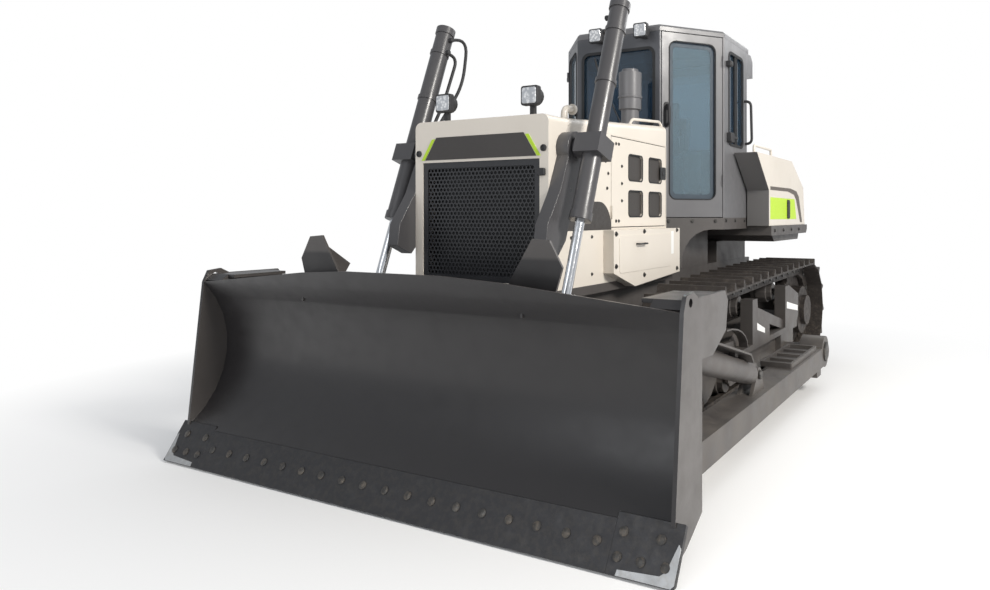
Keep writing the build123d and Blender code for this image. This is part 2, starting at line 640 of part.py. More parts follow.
def build_hood():
    """The radiator guard, grille, hood and side panels."""
    guard_rear = GUARD_FRONT + GUARD_DEPTH
    guard = block(-HOOD_HALF, HOOD_HALF, GUARD_FRONT, guard_rear, HULL_HIGH, HOOD_FRONT_HEIGHT)
    guard = fillet(guard.edges().filter_by(Axis.Y).group_by(Axis.Z)[-1], HOOD_CORNER)
    guard -= block(-HOOD_HALF + GUARD_WALL, HOOD_HALF - GUARD_WALL, GUARD_FRONT + GUARD_WALL, guard_rear,
                   HULL_HIGH, HOOD_FRONT_HEIGHT - GUARD_WALL)
    guard -= block(-GRILLE_HALF, GRILLE_HALF, GUARD_FRONT, GUARD_FRONT + GUARD_WALL, GRILLE_LOW, GRILLE_HIGH)
    write("radiator_guard", guard)
    write("grille", grille_plate())
    top = prism_x(((guard_rear, PANEL_TOP), (guard_rear, HOOD_FRONT_HEIGHT), (HOOD_REAR, HOOD_REAR_HEIGHT),
                   (HOOD_REAR, PANEL_TOP)), -HOOD_HALF, HOOD_HALF)
    top = fillet(top.edges().filter_by(lambda e: e.center().Z > PANEL_TOP + 10 and abs(e.center().X) > HOOD_HALF - 1
                                       and e.length > 1000), HOOD_CORNER)
    inner = prism_x(((guard_rear, PANEL_TOP), (guard_rear, HOOD_FRONT_HEIGHT - SHEET),
                     (HOOD_REAR, HOOD_REAR_HEIGHT - SHEET), (HOOD_REAR, PANEL_TOP)),
                    -HOOD_HALF + SHEET, HOOD_HALF - SHEET)
    inner = fillet(inner.edges().filter_by(lambda e: e.center().Z > PANEL_TOP + 10 and e.length > 1200),
                   HOOD_CORNER - SHEET)
    write("hood_top", top - inner)
    panel = block(HOOD_HALF - SHEET, HOOD_HALF, guard_rear, HOOD_REAR, HULL_HIGH, PANEL_TOP)
    panel -= block(HOOD_HALF - SHEET, HOOD_HALF, VENT_DOOR_FRONT, VENT_DOOR_REAR, VENT_DOOR_LOW,
                   VENT_DOOR_HIGH)
    door = block(HOOD_HALF - SHEET, HOOD_HALF, VENT_DOOR_FRONT + DOOR_GAP, VENT_DOOR_REAR - DOOR_GAP,
                 VENT_DOOR_LOW + DOOR_GAP, VENT_DOOR_HIGH - DOOR_GAP)
    flat = Pos(HOOD_HALF, 0, 0) * Rot(0, 0, 90)
    for low in (VENT_DOOR_LOW + 60, VENT_DOOR_HIGH - 60 - HINGE_HEIGHT):
        moving, fixed = hinge(flat, VENT_DOOR_FRONT + DOOR_GAP / 2, 1, low)
        door += moving
        panel += fixed
    for y, z in VENT_PLACES:
        door -= vent_cutter(y, z)
    write("side_panels", panel, mirrored(panel))
    write_sides("vent_door", door)
    box = prism_x(((VENT_DOOR_FRONT - 105, TOOL_BOX_LOW + 60), (VENT_DOOR_FRONT - 105, TOOL_BOX_HIGH),
                   (TOOL_BOX_REAR, TOOL_BOX_HIGH), (TOOL_BOX_REAR, TOOL_BOX_LOW), (-740, TOOL_BOX_LOW - 50)),
                  HOOD_HALF, HOOD_HALF + TOOL_BOX_DEPTH)
    write("tool_boxes", box, mirrored(box))


def cab_plan(inset):
    """The cab's six-sided plan, moved in by a wall."""
    k = inset
    slant = math.atan2(CAB_SIDE_HALF - CAB_FRONT_HALF, CAB_CORNER_Y - CAB_FRONT)
    front_x = CAB_FRONT_HALF - k * math.tan((math.pi / 2 - slant) / 2)
    side_y = CAB_CORNER_Y + k * math.tan(slant / 2)
    right = ((front_x, CAB_FRONT + k), (CAB_SIDE_HALF - k, side_y), (CAB_SIDE_HALF - k, CAB_REAR - k))
    return tuple(right) + tuple((-x, y) for x, y in reversed(right))


def door_frame_local(width, low, high):
    """A cab door as a flat frame in its own plane: X along the door, Z up, Y its thickness."""
    frame = block(0, width, 0, CAB_WALL, low, high)
    frame -= window_y(DOOR_FRAME, width - DOOR_FRAME, 0, CAB_WALL, low + 150, high - DOOR_FRAME)
    return frame


def build_cab():
    """The platform, the hollow cab with its doors and glass, and what shows inside."""
    plan = ((-CAB_SIDE_HALF, CAB_REAR), (-CAB_SIDE_HALF, CAB_CORNER_Y), (-CAB_FRONT_HALF, CAB_FRONT),
            (CAB_FRONT_HALF, CAB_FRONT), (CAB_SIDE_HALF, CAB_CORNER_Y), (CAB_SIDE_HALF, CAB_REAR))
    width, place = door_place()
    platform = prism_z(plan, CAB_FLOOR - PLATFORM_THICKNESS, CAB_FLOOR)
    skirt = place * skirt_plate()
    write("platform", platform + skirt + mirrored(skirt))
    shell = prism_z(plan, CAB_FLOOR, CAB_ROOF)
    shell -= prism_z(cab_plan(CAB_WALL), CAB_FLOOR, CAB_ROOF)
    ahead = place * block(-2000, DOOR_EDGE - DOOR_GAP, -2000, 2000, CAB_FLOOR, CAB_ROOF)
    front = shell & ahead & mirrored(ahead)
    front -= window_y(-CAB_FRONT_HALF + 50, CAB_FRONT_HALF - 50, CAB_FRONT, CAB_FRONT + CAB_WALL,
                      WINDSCREEN_LOW, CAB_ROOF - WINDOW_HEAD - 40)
    write("cab_front", front)
    behind = place * block(width - DOOR_EDGE + DOOR_GAP, 3000, -2000, 2000, CAB_FLOOR, CAB_ROOF)
    side = shell & behind & block(0, CAB_SIDE_HALF, 0, CAB_REAR - CAB_WALL, CAB_FLOOR, CAB_ROOF)
    side -= window_x(CAB_SIDE_HALF - CAB_WALL, CAB_SIDE_HALF, CAB_CORNER_Y + 110, CAB_REAR - CAB_WALL - 70,
                     CAB_SILL + 30, CAB_ROOF - WINDOW_HEAD)
    for low in DOOR_HINGES:
        side += hinge(place, width - DOOR_EDGE + DOOR_GAP / 2, -1, low)[1]
    write("cab_sides", side, mirrored(side))
    rear = block(-CAB_SIDE_HALF, CAB_SIDE_HALF, CAB_REAR - CAB_WALL, CAB_REAR, CAB_FLOOR, CAB_ROOF)
    rear -= window_y(-CAB_SIDE_HALF + 90, CAB_SIDE_HALF - 90, CAB_REAR - CAB_WALL, CAB_REAR,
                     CAB_SILL + 30, CAB_ROOF - WINDOW_HEAD)
    write("cab_rear", rear)
    roof_plan = [(x, ROOF_REAR if y > CAB_CORNER_Y + 10 else y) for x, y in plan]
    roof = prism_z(roof_plan, CAB_ROOF, CAB_ROOF + ROOF_THICKNESS)
    rim = roof.edges().group_by(Axis.Z)[-1]
    write("cab_roof", chamfer(rim, ROOF_STEP))
    top = CAB_ROOF + ROOF_THICKNESS
    unit = block(-AC_HALF, AC_HALF, ROOF_REAR, ROOF_REAR + AC_LENGTH, top - AC_HEIGHT, top)
    write("ac_unit", chamfer(unit.edges().group_by(Axis.Z)[-1].sort_by(Axis.Y)[-1], ROOF_STEP * 3))
    build_doors()
    build_panes()
    build_seat()
    write("dashboard", prism_x(((CAB_FRONT + CAB_WALL, CAB_FLOOR), (CAB_FRONT + CAB_WALL, CAB_FLOOR + 760),
                                (CAB_FRONT + 180, CAB_FLOOR + 740), (CAB_FRONT + 260, CAB_FLOOR + 560),
                                (CAB_FRONT + 200, CAB_FLOOR)), 60 - CAB_FRONT_HALF, CAB_FRONT_HALF - 60))


def skirt_plate():
    """The plate under the cab's slanting side, hollowed by an arc, drawn flat."""
    high = CAB_FLOOR - PLATFORM_THICKNESS
    low_arc = arc_points((SKIRT_WIDTH + SKIRT_ARC, high - SKIRT_ARC), SKIRT_ARC, 180, 90, 6)
    outline = [(0, high), (0, SKIRT_LOW), (SKIRT_WIDTH, SKIRT_LOW)] + low_arc
    return prism_y(outline, 0, SKIRT_THICKNESS)


def build_seat():
    """The driver's seat on its base, with the control boxes and levers beside it."""
    low, high = CAB_FLOOR + 330, CAB_FLOOR + 450
    profile = ((560, low), (540, high - 30), (570, high + 10), (930, high - 20), (1010, high + 470),
               (1040, high + 640),
               (1100, high + 640), (1100, high + 450), (1040, low))
    seat = prism_x(profile, -240, 240)
    seat -= prism_x(((1000, high + 480), (1000, high + 700), (1200, high + 700), (1200, high + 480)),
                    -300, -130)
    seat -= prism_x(((1000, high + 480), (1000, high + 700), (1200, high + 700), (1200, high + 480)),
                    130, 300)
    write("seat", seat)
    write("seat_base", block(-200, 200, 600, 980, CAB_FLOOR, low))
    boxes = []
    for side in (-1, 1):
        x = side * 330
        box = prism_x(((600, CAB_FLOOR), (600, high + 90), (680, high + 150), (1000, high + 150),
                       (1000, CAB_FLOOR)),
                      x - 60, x + 60)
        lever = rod_between((x, 650, high + 60), (x, 610, high + 290), 9.0)
        boxes.append(box + lever + Pos(x, 607, high + 300) * Box(44, 44, 60))
    write("control_boxes", *boxes)


def build_panes():
    """The fixed panes, in the windows of the front, the sides and the rear."""
    inset = (CAB_WALL - GLASS) / 2
    g = RUNNING_GAP
    front = window_y(-CAB_FRONT_HALF + 50 + g, CAB_FRONT_HALF - 50 - g, CAB_FRONT + inset,
                     CAB_FRONT + inset + GLASS,
                     WINDSCREEN_LOW + g, CAB_ROOF - WINDOW_HEAD - 40 - g)
    side = window_x(CAB_SIDE_HALF - inset - GLASS, CAB_SIDE_HALF - inset, CAB_CORNER_Y + 110 + g,
                    CAB_REAR - CAB_WALL - 70 - g, CAB_SILL + 30 + g, CAB_ROOF - WINDOW_HEAD - g)
    rear = window_y(-CAB_SIDE_HALF + 90 + g, CAB_SIDE_HALF - 90 - g, CAB_REAR - inset - GLASS,
                    CAB_REAR - inset,
                    CAB_SILL + 30 + g, CAB_ROOF - WINDOW_HEAD - g)
    write("cab_glass", front, side, mirrored(side), rear)


def door_place():
    """The width of the cab's slanting face and the placing of a piece drawn flat on it."""
    dx, dy = CAB_SIDE_HALF - CAB_FRONT_HALF, CAB_CORNER_Y - CAB_FRONT
    place = Pos(CAB_FRONT_HALF, CAB_FRONT, 0) * Rot(0, 0, math.degrees(math.atan2(dy, dx)))
    return math.hypot(dx, dy), place


def build_doors():
    """Both cab doors, on the slanting faces, hinged at their rear edges."""
    width, place = door_place()
    width -= 2 * DOOR_EDGE
    place = place * Pos(DOOR_EDGE, 0, 0)
    frame = door_frame_local(width, CAB_FLOOR + DOOR_GAP, CAB_ROOF - DOOR_GAP)
    g = RUNNING_GAP
    inset = (CAB_WALL - GLASS) / 2
    glass = window_y(DOOR_FRAME + g, width - DOOR_FRAME - g, inset, inset + GLASS,
                     CAB_FLOOR + DOOR_GAP + 150 + g, CAB_ROOF - DOOR_GAP - DOOR_FRAME - g)
    frame = place * frame
    for low in DOOR_HINGES:
        frame += hinge(place, width + DOOR_GAP / 2, -1, low)[0]
    write_sides("cab_door", frame)
    write_sides("door_glass", place * glass)


def build_tank():
    """The rear fuel tank with a wing beside each rear corner of the cab, and the deck under it."""
    outline = ((TANK_FRONT, TANK_LOW), (TANK_FRONT, TANK_KNEE), (TANK_NOSE, TANK_HIGH),
               (TANK_REAR_HIGH, TANK_HIGH),
               (TANK_REAR - 60, TANK_SHOULDER), (TANK_REAR, TANK_LOW))
    tank = prism_x(outline, -TANK_HALF, TANK_HALF)
    cab_room = CAB_SIDE_HALF + TANK_CAB_GAP
    tank -= block(-cab_room, cab_room, TANK_NOSE, CAB_REAR + TANK_CAB_GAP, TANK_LOW, TANK_HIGH)
    write("fuel_tank", tank)
    low = TANK_LOW - DECK_DEPTH
    front = CAB_REAR + TANK_CAB_GAP
    deck = prism_x(((front, TANK_LOW), (front, low), (DECK_REAR - 40, low), (DECK_REAR, low + 40),
                    (DECK_REAR, TANK_LOW)), -TANK_HALF - 10, TANK_HALF + 10)
    under = prism_x(((front + 250, low), (front + 330, low - 65), (DECK_REAR - 130, low - 65),
                     (DECK_REAR - 90, low)),
                    -TANK_HALF + 60, TANK_HALF - 60)
    write("tank_deck", deck + under)
    stand = block(-HULL_HALF, HULL_HALF, front + 130, front + 1000, HULL_HIGH, low - 65)
    post = block(-HULL_HALF, HULL_HALF, CAB_FRONT + 100, CAB_REAR - 100, HULL_HIGH,
                 CAB_FLOOR - PLATFORM_THICKNESS)
    write("deck_stands", stand, post)


def board_arc():
    """The centre of the mouldboard's arc and half of the angle it spans."""
    chord = math.hypot(BLADE_TOP_Y - BLADE_FOOT_Y, BLADE_TOP_Z - BLADE_FOOT_Z)
    lean = math.atan2(BLADE_TOP_Y - BLADE_FOOT_Y, BLADE_TOP_Z - BLADE_FOOT_Z)
    half = math.asin(chord / 2 / MOULDBOARD_RADIUS)
    mid_y, mid_z = (BLADE_TOP_Y + BLADE_FOOT_Y) / 2, (BLADE_TOP_Z + BLADE_FOOT_Z) / 2
    back = MOULDBOARD_RADIUS * math.cos(half)
    return (mid_y - back * math.cos(lean), mid_z + back * math.sin(lean)), math.degrees(half), math.degrees(lean)


def mouldboard_face(offset):
    """Points (y, z) of the blade's hollow front, moved back by an offset, with the straight top strip."""
    centre, half, lean = board_arc()
    points = arc_points(centre, MOULDBOARD_RADIUS + offset, -half - lean, half - lean, BOARD_STEPS)
    rise = CROWN_MIDDLE[1] + 20
    return points + [(BLADE_TOP_Y + offset - CROWN_LEAN * rise, BLADE_TOP_Z + rise)]


def board_back(z):
    """The place along Y of the mouldboard's back at a height, just inside the plate."""
    centre = board_arc()[0]
    return centre[0] + math.sqrt((MOULDBOARD_RADIUS + MOULDBOARD / 2) ** 2 - (z - centre[1]) ** 2)


def edge_strip(thickness, rise=0.0):
    """The cutting edge's outline in (y, z): foot, tip, heel on the ground and foot again behind."""
    slope = (BLADE_EDGE_Y - BLADE_FOOT_Y, BLADE_EDGE_Z - BLADE_FOOT_Z)
    length = math.hypot(*slope)
    along = (slope[0] / length, slope[1] / length)
    foot = (BLADE_FOOT_Y - along[0] * rise, BLADE_FOOT_Z - along[1] * rise)
    behind = (-along[1] * thickness, along[0] * thickness)
    heel_y = BLADE_EDGE_Y + thickness / -along[1]
    return (foot, (BLADE_EDGE_Y, BLADE_EDGE_Z), (heel_y, BLADE_EDGE_Z),
            (foot[0] + behind[0], foot[1] + behind[1]))


def mouldboard():
    """The curved plate with its crowned top edge and the box beams along its back."""
    front = mouldboard_face(0.0)
    back = mouldboard_face(MOULDBOARD)
    half = BLADE_HALF - END_PLATE
    shoulder, middle = CROWN_SHOULDER, CROWN_MIDDLE
    crown = [(half, BLADE_TOP_Z), (shoulder[0], BLADE_TOP_Z + shoulder[1]),
             (middle[0], BLADE_TOP_Z + middle[1])]
    outline = [(-half, -50), (half, -50)] + crown + [(-x, z) for x, z in reversed(crown)]
    board = prism_x(front + back[::-1], -half, half) & prism_y(outline, BLADE_EDGE_Y - 100, 0)
    lower = prism_x((back[0], back[1], back[2], back[3], (BLADE_BACK_Y, 560), (BLADE_BACK_Y, 150),
                     (BLADE_FOOT_Y + 45, 175)), -half, half)
    upper = prism_x((back[5], back[6], back[7], (BLADE_BACK_Y, 900), (BLADE_BACK_Y, 800)), -half, half)
    return board + lower + upper


def end_plate():
    """The blade's left end plate with its lifting eye."""
    half = BLADE_HALF - END_PLATE
    foot = edge_strip(CUTTING_EDGE + RUNNING_GAP)
    _, box_rear, box_top = CORNER_BOX
    outline = ((BLADE_TOP_Y, BLADE_TOP_Z), (BLADE_FOOT_Y, BLADE_FOOT_Z + 5), foot[3], foot[2],
               (-2335, 70), (BLADE_BACK_Y, 160), (BLADE_BACK_Y, 850), (-2018, 843), (box_rear + 11, 934),
               (box_rear + 41, 1078), (box_rear, box_top), (-2200, box_top), (-2255, 1160), (-2335, 1150))
    plate = prism_x(outline, half, BLADE_HALF)
    return plate - wheel_x(half, BLADE_HALF, *LIFTING_EYE, LIFTING_EYE_RADIUS)


def corner_box():
    """The box behind the blade's upper left corner."""
    inner_x, rear, top = CORNER_BOX
    back = mouldboard_face(MOULDBOARD)
    outline = (back[6], back[7], back[8], (BLADE_TOP_Y + 60, top - 2), (rear - 60, top - 2), (rear - 60, 920),
               (-2018, 860))
    box = prism_x(outline, inner_x, BLADE_HALF - END_PLATE)
    slant = prism_z(((inner_x, rear - 100), (BLADE_HALF - END_PLATE, rear - 5), (inner_x, rear - 5)),
                    800, 1200)
    shelf = block(inner_x - CORNER_SHELF, inner_x + 1, BLADE_TOP_Y + 60, rear - 100,
                  top - 2 - END_PLATE, top - 2)
    return box + shelf - slant


def rod_guard():
    """The left guard plate in front of a lift cylinder, with the gusset behind it."""
    plate = prism_y(((590, 1080), (620, 1165), (757, 1380), (860, 1372), (936, 1240), (885, 1080)),
                    ROD_GUARD_Y, ROD_GUARD_Y + ROD_GUARD)
    gusset = prism_x(((ROD_GUARD_Y + ROD_GUARD, 1340), (-1985, 1200), (-2060, 1090),
                      (ROD_GUARD_Y + ROD_GUARD, 1000)),
                     770, 770 + ROD_GUARD)
    rail = block(590, 885, board_back(1040), ROD_GUARD_Y + ROD_GUARD, 1040, 1082)
    return plate + gusset + rail + block(770, 770 + ROD_GUARD, board_back(1040), ROD_GUARD_Y + 20, 1000, 1045)


def build_blade():
    """The blade: mouldboard, end plates, guards, eyes and its wearing edges."""
    blade = mouldboard()
    for piece in (end_plate(), corner_box(), rod_guard()):
        blade += piece
        blade += mirrored(piece)
    for side in (-1, 1):
        low, high = STRUT_TOP[1] - 60, STRUT_TOP[1] + 60
        blade += strut_ears(side, STRUT_TOP, (board_back(low), low), (board_back(high), high))
        for ear in (-1, 1):
            x = side * CYLINDER_X + ear * (EYE_WIDTH / 2 + EYE_SIDE_GAP + EAR / 2)
            outline = ear_outline((BLADE_BACK_Y - 20, EYE_Z - 160), (BLADE_BACK_Y - 20, EYE_Z + 50),
                                  (EYE_Y, EYE_Z), EYE_RADIUS + 5)
            blade += prism_x(outline, x - EAR / 2, x + EAR / 2)
    seat = edge_strip(CUTTING_EDGE + RUNNING_GAP)
    blade -= prism_x(seat, -END_BIT_OUTER, END_BIT_OUTER)
    high_seat = prism_x(edge_strip(CUTTING_EDGE + RUNNING_GAP, END_BIT_RISE), CUTTING_EDGE_HALF,
                        END_BIT_OUTER)
    blade = blade - high_seat - mirrored(high_seat)
    write("blade", blade)
    write("cutting_edge", prism_x(edge_strip(CUTTING_EDGE), -CUTTING_EDGE_HALF, CUTTING_EDGE_HALF))
    bit = prism_x(edge_strip(CUTTING_EDGE, END_BIT_RISE - 1), CUTTING_EDGE_HALF, END_BIT_OUTER)
    write("end_bits", bit, mirrored(bit))


def ear_outline(low, high, eye, radius):
    """An ear's outline in (y, z): straight from its foot, low to high, and round at its eye."""
    length = math.hypot(high[0] - low[0], high[1] - low[1])
    foot = ((high[0] - low[0]) / length, (high[1] - low[1]) / length)
    out = (-foot[1], foot[0])
    if out[0] * (eye[0] - low[0]) + out[1] * (eye[1] - low[1]) < 0:
        out = (-out[0], -out[1])
    points = [low, high]
    for step in range(7):
        a = math.pi * step / 6
        points.append((eye[0] + radius * (math.cos(a) * foot[0] + math.sin(a) * out[0]),
                       eye[1] + radius * (math.cos(a) * foot[1] + math.sin(a) * out[1])))
    return points


def strut_ears(side, eye, low, high):
    """Two plates that hold a strut's eye, standing on a foot from low to high."""
    middle = side * (ARM_INNER + ARM_WIDTH / 2)
    ears = []
    for ear in (-1, 1):
        x = middle + ear * (EYE_WIDTH / 2 + RUNNING_GAP + EAR / 2)
        ears.append(prism_x(ear_outline(low, high, eye, EYE_RADIUS - 5), x - EAR / 2, x + EAR / 2))
    return ears[0] + ears[1]


def on_strut(distance, up):
    """A point (y, z) at a distance from the strut's top eye, moved square to the strut."""
    dy, dz = STRUT_FOOT[0] - STRUT_TOP[0], STRUT_FOOT[1] - STRUT_TOP[1]
    length = math.hypot(dy, dz)
    return (STRUT_TOP[0] + (dy * distance - dz * up) / length,
            STRUT_TOP[1] + (dz * distance + dy * up) / length)


def strut():
    """The left strut between the blade and its push arm, with the cover plate above it."""
    middle = ARM_INNER + ARM_WIDTH / 2
    bar = rod_between((middle, STRUT_TOP[0], STRUT_TOP[1]), (middle, STRUT_FOOT[0], STRUT_FOOT[1]),
                      STRUT_RADIUS)
    for y, z in (STRUT_FOOT, STRUT_TOP):
        for x0, x1 in ((middle - 100, middle - EYE_WIDTH / 2), (middle + EYE_WIDTH / 2, middle + 100)):
            bar -= block(x0, x1, y - 100, y + 100, 0, 1200)
        bar += drum_x(middle - EYE_WIDTH / 2, middle + EYE_WIDTH / 2, y, z, EYE_RADIUS, ROUND_SIDES)
    high = STRUT_COVER + SHEET
    cover = [on_strut(260, STRUT_COVER - 50), on_strut(340, STRUT_COVER), on_strut(1180, STRUT_COVER),
             on_strut(1240, STRUT_COVER - 40), on_strut(1252, high - 48), on_strut(1188,
                                                                                   high), on_strut(334, high),
             on_strut(248, high - 54)]
    bar += prism_x(cover, middle - 90, middle + 90)
    for distance in (420, 1080):
        post = [on_strut(distance, 50), on_strut(distance + 60, 50), on_strut(distance + 60, STRUT_COVER + 4),
                on_strut(distance, STRUT_COVER + 4)]
        bar += prism_x(post, middle - 20, middle + 20)
    return bar


def build_push_arms():
    """The push arms outside the tracks with their trunnions and struts."""
    outer = ARM_INNER + ARM_WIDTH
    high = ARM_LOW + ARM_HEIGHT
    arm = block(ARM_INNER, outer, ARM_FRONT, PIVOT_Y, ARM_LOW, high)
    arm += block(ARM_INNER + 60, outer, PIVOT_Y - 325, PIVOT_Y - 180, ARM_LOW - ARM_PAD, ARM_LOW)
    arm += wheel_x(ARM_INNER, outer, PIVOT_Y, PIVOT_Z, ARM_EYE_RADIUS)
    arm -= wheel_x(ARM_INNER, outer - 40, PIVOT_Y, PIVOT_Z, PIVOT_RADIUS + ROD_CLEARANCE)
    arm += strut_ears(1, STRUT_FOOT, (STRUT_FOOT[0] - 150, high), (STRUT_FOOT[0] + 110, high))
    write_sides("push_arm", arm)
    write("tilt_struts", strut(), mirrored(strut()))


def along_cylinder(distance, x=CYLINDER_X):
    """A point on the lift cylinder's line, up from the yoke when positive."""
    return (x, YOKE_Y + distance * math.sin(LIFT_ANGLE), YOKE_Z + distance * math.cos(LIFT_ANGLE))


def beside_barrel(distance, offset):
    """A point behind a lift cylinder's barrel."""
    x, y, z = along_cylinder(distance)
    return (x, y + offset * math.cos(LIFT_ANGLE), z - offset * math.sin(LIFT_ANGLE))


def barrel_pipe(port, block_face):
    """An oil pipe from a barrel's port along the barrel to the face of the block round it."""
    run = [beside_barrel(port, BARREL_RADIUS - 4), beside_barrel(port, PIPE_OFFSET),
           beside_barrel(block_face, PIPE_OFFSET)]
    path = FilletPolyline(*run, radius=PIPE_BEND)
    plane = Plane(origin=path @ 0, z_dir=path % 0)
    return sweep(plane * RegularPolygon(PIPE_RADIUS, 8), path=path)


def build_lift_cylinders():
    """The lift cylinders with their yokes, and the brackets that hold the yokes."""
    barrel = ring_between(along_cylinder(-BARREL_BELOW), along_cylinder(BARREL_ABOVE), BARREL_RADIUS,
                          BARREL_BORE)
    barrel += rod_between(along_cylinder(BARREL_ABOVE - 40), along_cylinder(BARREL_ABOVE), BARREL_RADIUS)
    barrel += ring_between(along_cylinder(-BARREL_BELOW), along_cylinder(-BARREL_BELOW + GLAND),
                           BARREL_RADIUS,
                           ROD_RADIUS + ROD_CLEARANCE)
    for port, face in ((BARREL_ABOVE - PORT_INSET, CLAMP_DEPTH), (PORT_INSET - BARREL_BELOW, -CLAMP_DEPTH)):
        barrel += rod_between(beside_barrel(port, BARREL_RADIUS - 6),
                              beside_barrel(port, BARREL_RADIUS + 6), PIPE_RADIUS + 7)
        barrel += barrel_pipe(port, face)
    write_sides("lift_barrel", barrel)
    across = Plane(origin=along_cylinder(-CLAMP_DEPTH), x_dir=(1, 0, 0),
                   z_dir=(0, math.sin(LIFT_ANGLE), math.cos(LIFT_ANGLE)))
    yoke = extrude(across * (Rectangle(2 * CLAMP, 2 * CLAMP) - Circle(BARREL_RADIUS)), amount=2 * CLAMP_DEPTH)
    yoke += wheel_x(HOOD_HALF + 2, CYLINDER_X - CLAMP + 10, YOKE_Y, YOKE_Z, YOKE_PIN)
    yoke += drum_x(HOOD_HALF + BRACKET_DEPTH + 5, CYLINDER_X - CLAMP + 5, YOKE_Y, YOKE_Z, TRUNNION_CAP,
                   ROUND_SIDES)
    write_sides("lift_yoke", yoke)
    rod = rod_between(along_cylinder(-LIFT_REACH), along_cylinder(-LIFT_REACH + ROD_LENGTH), ROD_RADIUS)
    rod += rod_between(along_cylinder(-LIFT_REACH + ROD_LENGTH),
                       along_cylinder(-LIFT_REACH + ROD_LENGTH + PISTON_DEPTH),
                       BARREL_BORE - ROD_CLEARANCE)
    rod += wheel_x(CYLINDER_X - EYE_WIDTH / 2, CYLINDER_X + EYE_WIDTH / 2, EYE_Y, EYE_Z, EYE_RADIUS)
    write_sides("lift_rod", rod)
    x0, x1 = HOOD_HALF, HOOD_HALF + BRACKET_DEPTH
    leg = prism_x(((YOKE_Y - 80, YOKE_Z - 30), (YOKE_Y + 85, YOKE_Z - 40), (-1560, 1560), (-1640, 1350),
                   (-1730, 1253),
                   (-1850, 1310), (-1830, 1444), (-1700, 1640)), x0, x1)
    bracket = leg + drum_x(x0, x1, YOKE_Y, YOKE_Z, BRACKET_DRUM, ROUND_SIDES)
    bracket -= wheel_x(x0, x1, YOKE_Y, YOKE_Z, YOKE_PIN + ROD_CLEARANCE)
    write("cylinder_brackets", bracket, mirrored(bracket))


def lamp(x, y, z, facing):
    """A round work lamp that faces the front or, turned, the rear."""
    return drum_y(x, z, y, y - facing * LAMP_DEPTH, LAMP_RADIUS)


def build_fittings():
    """The air cleaner and the lamps."""
    under = prism_x(((GUARD_FRONT, PANEL_TOP), (GUARD_FRONT + GUARD_DEPTH, HOOD_FRONT_HEIGHT + RUNNING_GAP),
                     (HOOD_REAR, HOOD_REAR_HEIGHT + RUNNING_GAP), (HOOD_REAR,
                                                                   PANEL_TOP)), -HOOD_HALF, HOOD_HALF)
    x, y = CLEANER_PLACE
    cleaner = drum_z(x, y, PANEL_TOP + 20, 2335, 72) - under
    for low, high, radius in ((2335, 2425, 90), (2425, 2440, 99), (2440, CLEANER_TOP - 25, 92)):
        cleaner += drum_z(x, y, low, high, radius)
    write("air_cleaner", cleaner + drum_z(x, y, CLEANER_TOP - 25, CLEANER_TOP, 66))
    lamps = []
    x, y, z = HOOD_LAMP
    front = lamp(x, y, z, 1) + block(x - 15, x + 15, y - 50, y - 20, HOOD_FRONT_HEIGHT, z - LAMP_RADIUS + 15)
    lamps += [front, mirrored(front)]
    low = CAB_ROOF - LAMP_RADIUS
    for x in CAB_LAMPS:
        lamps.append(lamp(x, CAB_FRONT - 40, low + 45, 1) + block(x - 20, x + 20, CAB_FRONT - 45, CAB_FRONT,
                                                                  low, low + 40))
    back = ROOF_REAR + AC_LENGTH
    rear = lamp(AC_HALF - 160, back, low + 20, -1)
    lamps += [rear, mirrored(rear)]
    write("work_lamps", *lamps)


def main():
    """Build every piece and write its file."""
    os.makedirs("parts", exist_ok=True)
    build_tracks()
    build_hull()
    build_hood()
    build_cab()
    build_tank()
    build_blade()
    build_push_arms()
    build_lift_cylinders()
    build_fittings()


main()
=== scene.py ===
"""The looks of a crawler bulldozer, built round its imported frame.

Everything is in metres. X points to the machine's left, Y to the rear and Z up, and the origin
lies on the ground, half way along the machine and between its tracks.
"""

from __future__ import annotations

import json
import logging
import math
from dataclasses import dataclass
from enum import Enum

import bpy
import numpy as np
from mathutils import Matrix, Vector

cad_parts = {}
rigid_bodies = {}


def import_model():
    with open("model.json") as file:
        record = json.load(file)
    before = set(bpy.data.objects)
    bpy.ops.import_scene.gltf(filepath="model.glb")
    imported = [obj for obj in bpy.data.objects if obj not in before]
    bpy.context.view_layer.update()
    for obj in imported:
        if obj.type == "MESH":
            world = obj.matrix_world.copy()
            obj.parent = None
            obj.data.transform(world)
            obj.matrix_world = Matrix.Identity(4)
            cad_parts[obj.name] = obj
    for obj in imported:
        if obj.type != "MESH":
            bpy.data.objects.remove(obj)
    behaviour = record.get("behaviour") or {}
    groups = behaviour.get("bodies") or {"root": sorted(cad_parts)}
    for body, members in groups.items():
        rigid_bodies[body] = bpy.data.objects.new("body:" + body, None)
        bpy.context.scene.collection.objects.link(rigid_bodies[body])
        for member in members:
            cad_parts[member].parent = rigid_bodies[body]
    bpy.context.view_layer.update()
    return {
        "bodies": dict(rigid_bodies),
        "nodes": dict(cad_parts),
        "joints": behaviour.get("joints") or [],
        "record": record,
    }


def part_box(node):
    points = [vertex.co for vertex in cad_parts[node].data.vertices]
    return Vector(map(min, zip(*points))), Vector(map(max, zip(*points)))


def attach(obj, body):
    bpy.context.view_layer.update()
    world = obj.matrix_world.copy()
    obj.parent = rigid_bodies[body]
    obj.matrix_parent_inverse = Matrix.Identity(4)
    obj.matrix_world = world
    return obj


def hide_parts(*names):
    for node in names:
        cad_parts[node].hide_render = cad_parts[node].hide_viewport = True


LOG = logging.getLogger("bulldozer")
Colour = tuple[float, float, float]
Point = tuple[float, float, float]
Spot = tuple[float, float]
Outline = tuple[Spot, ...]
Line = tuple[Point, ...]
ACROSS = (1.0, 0.0, 0.0)
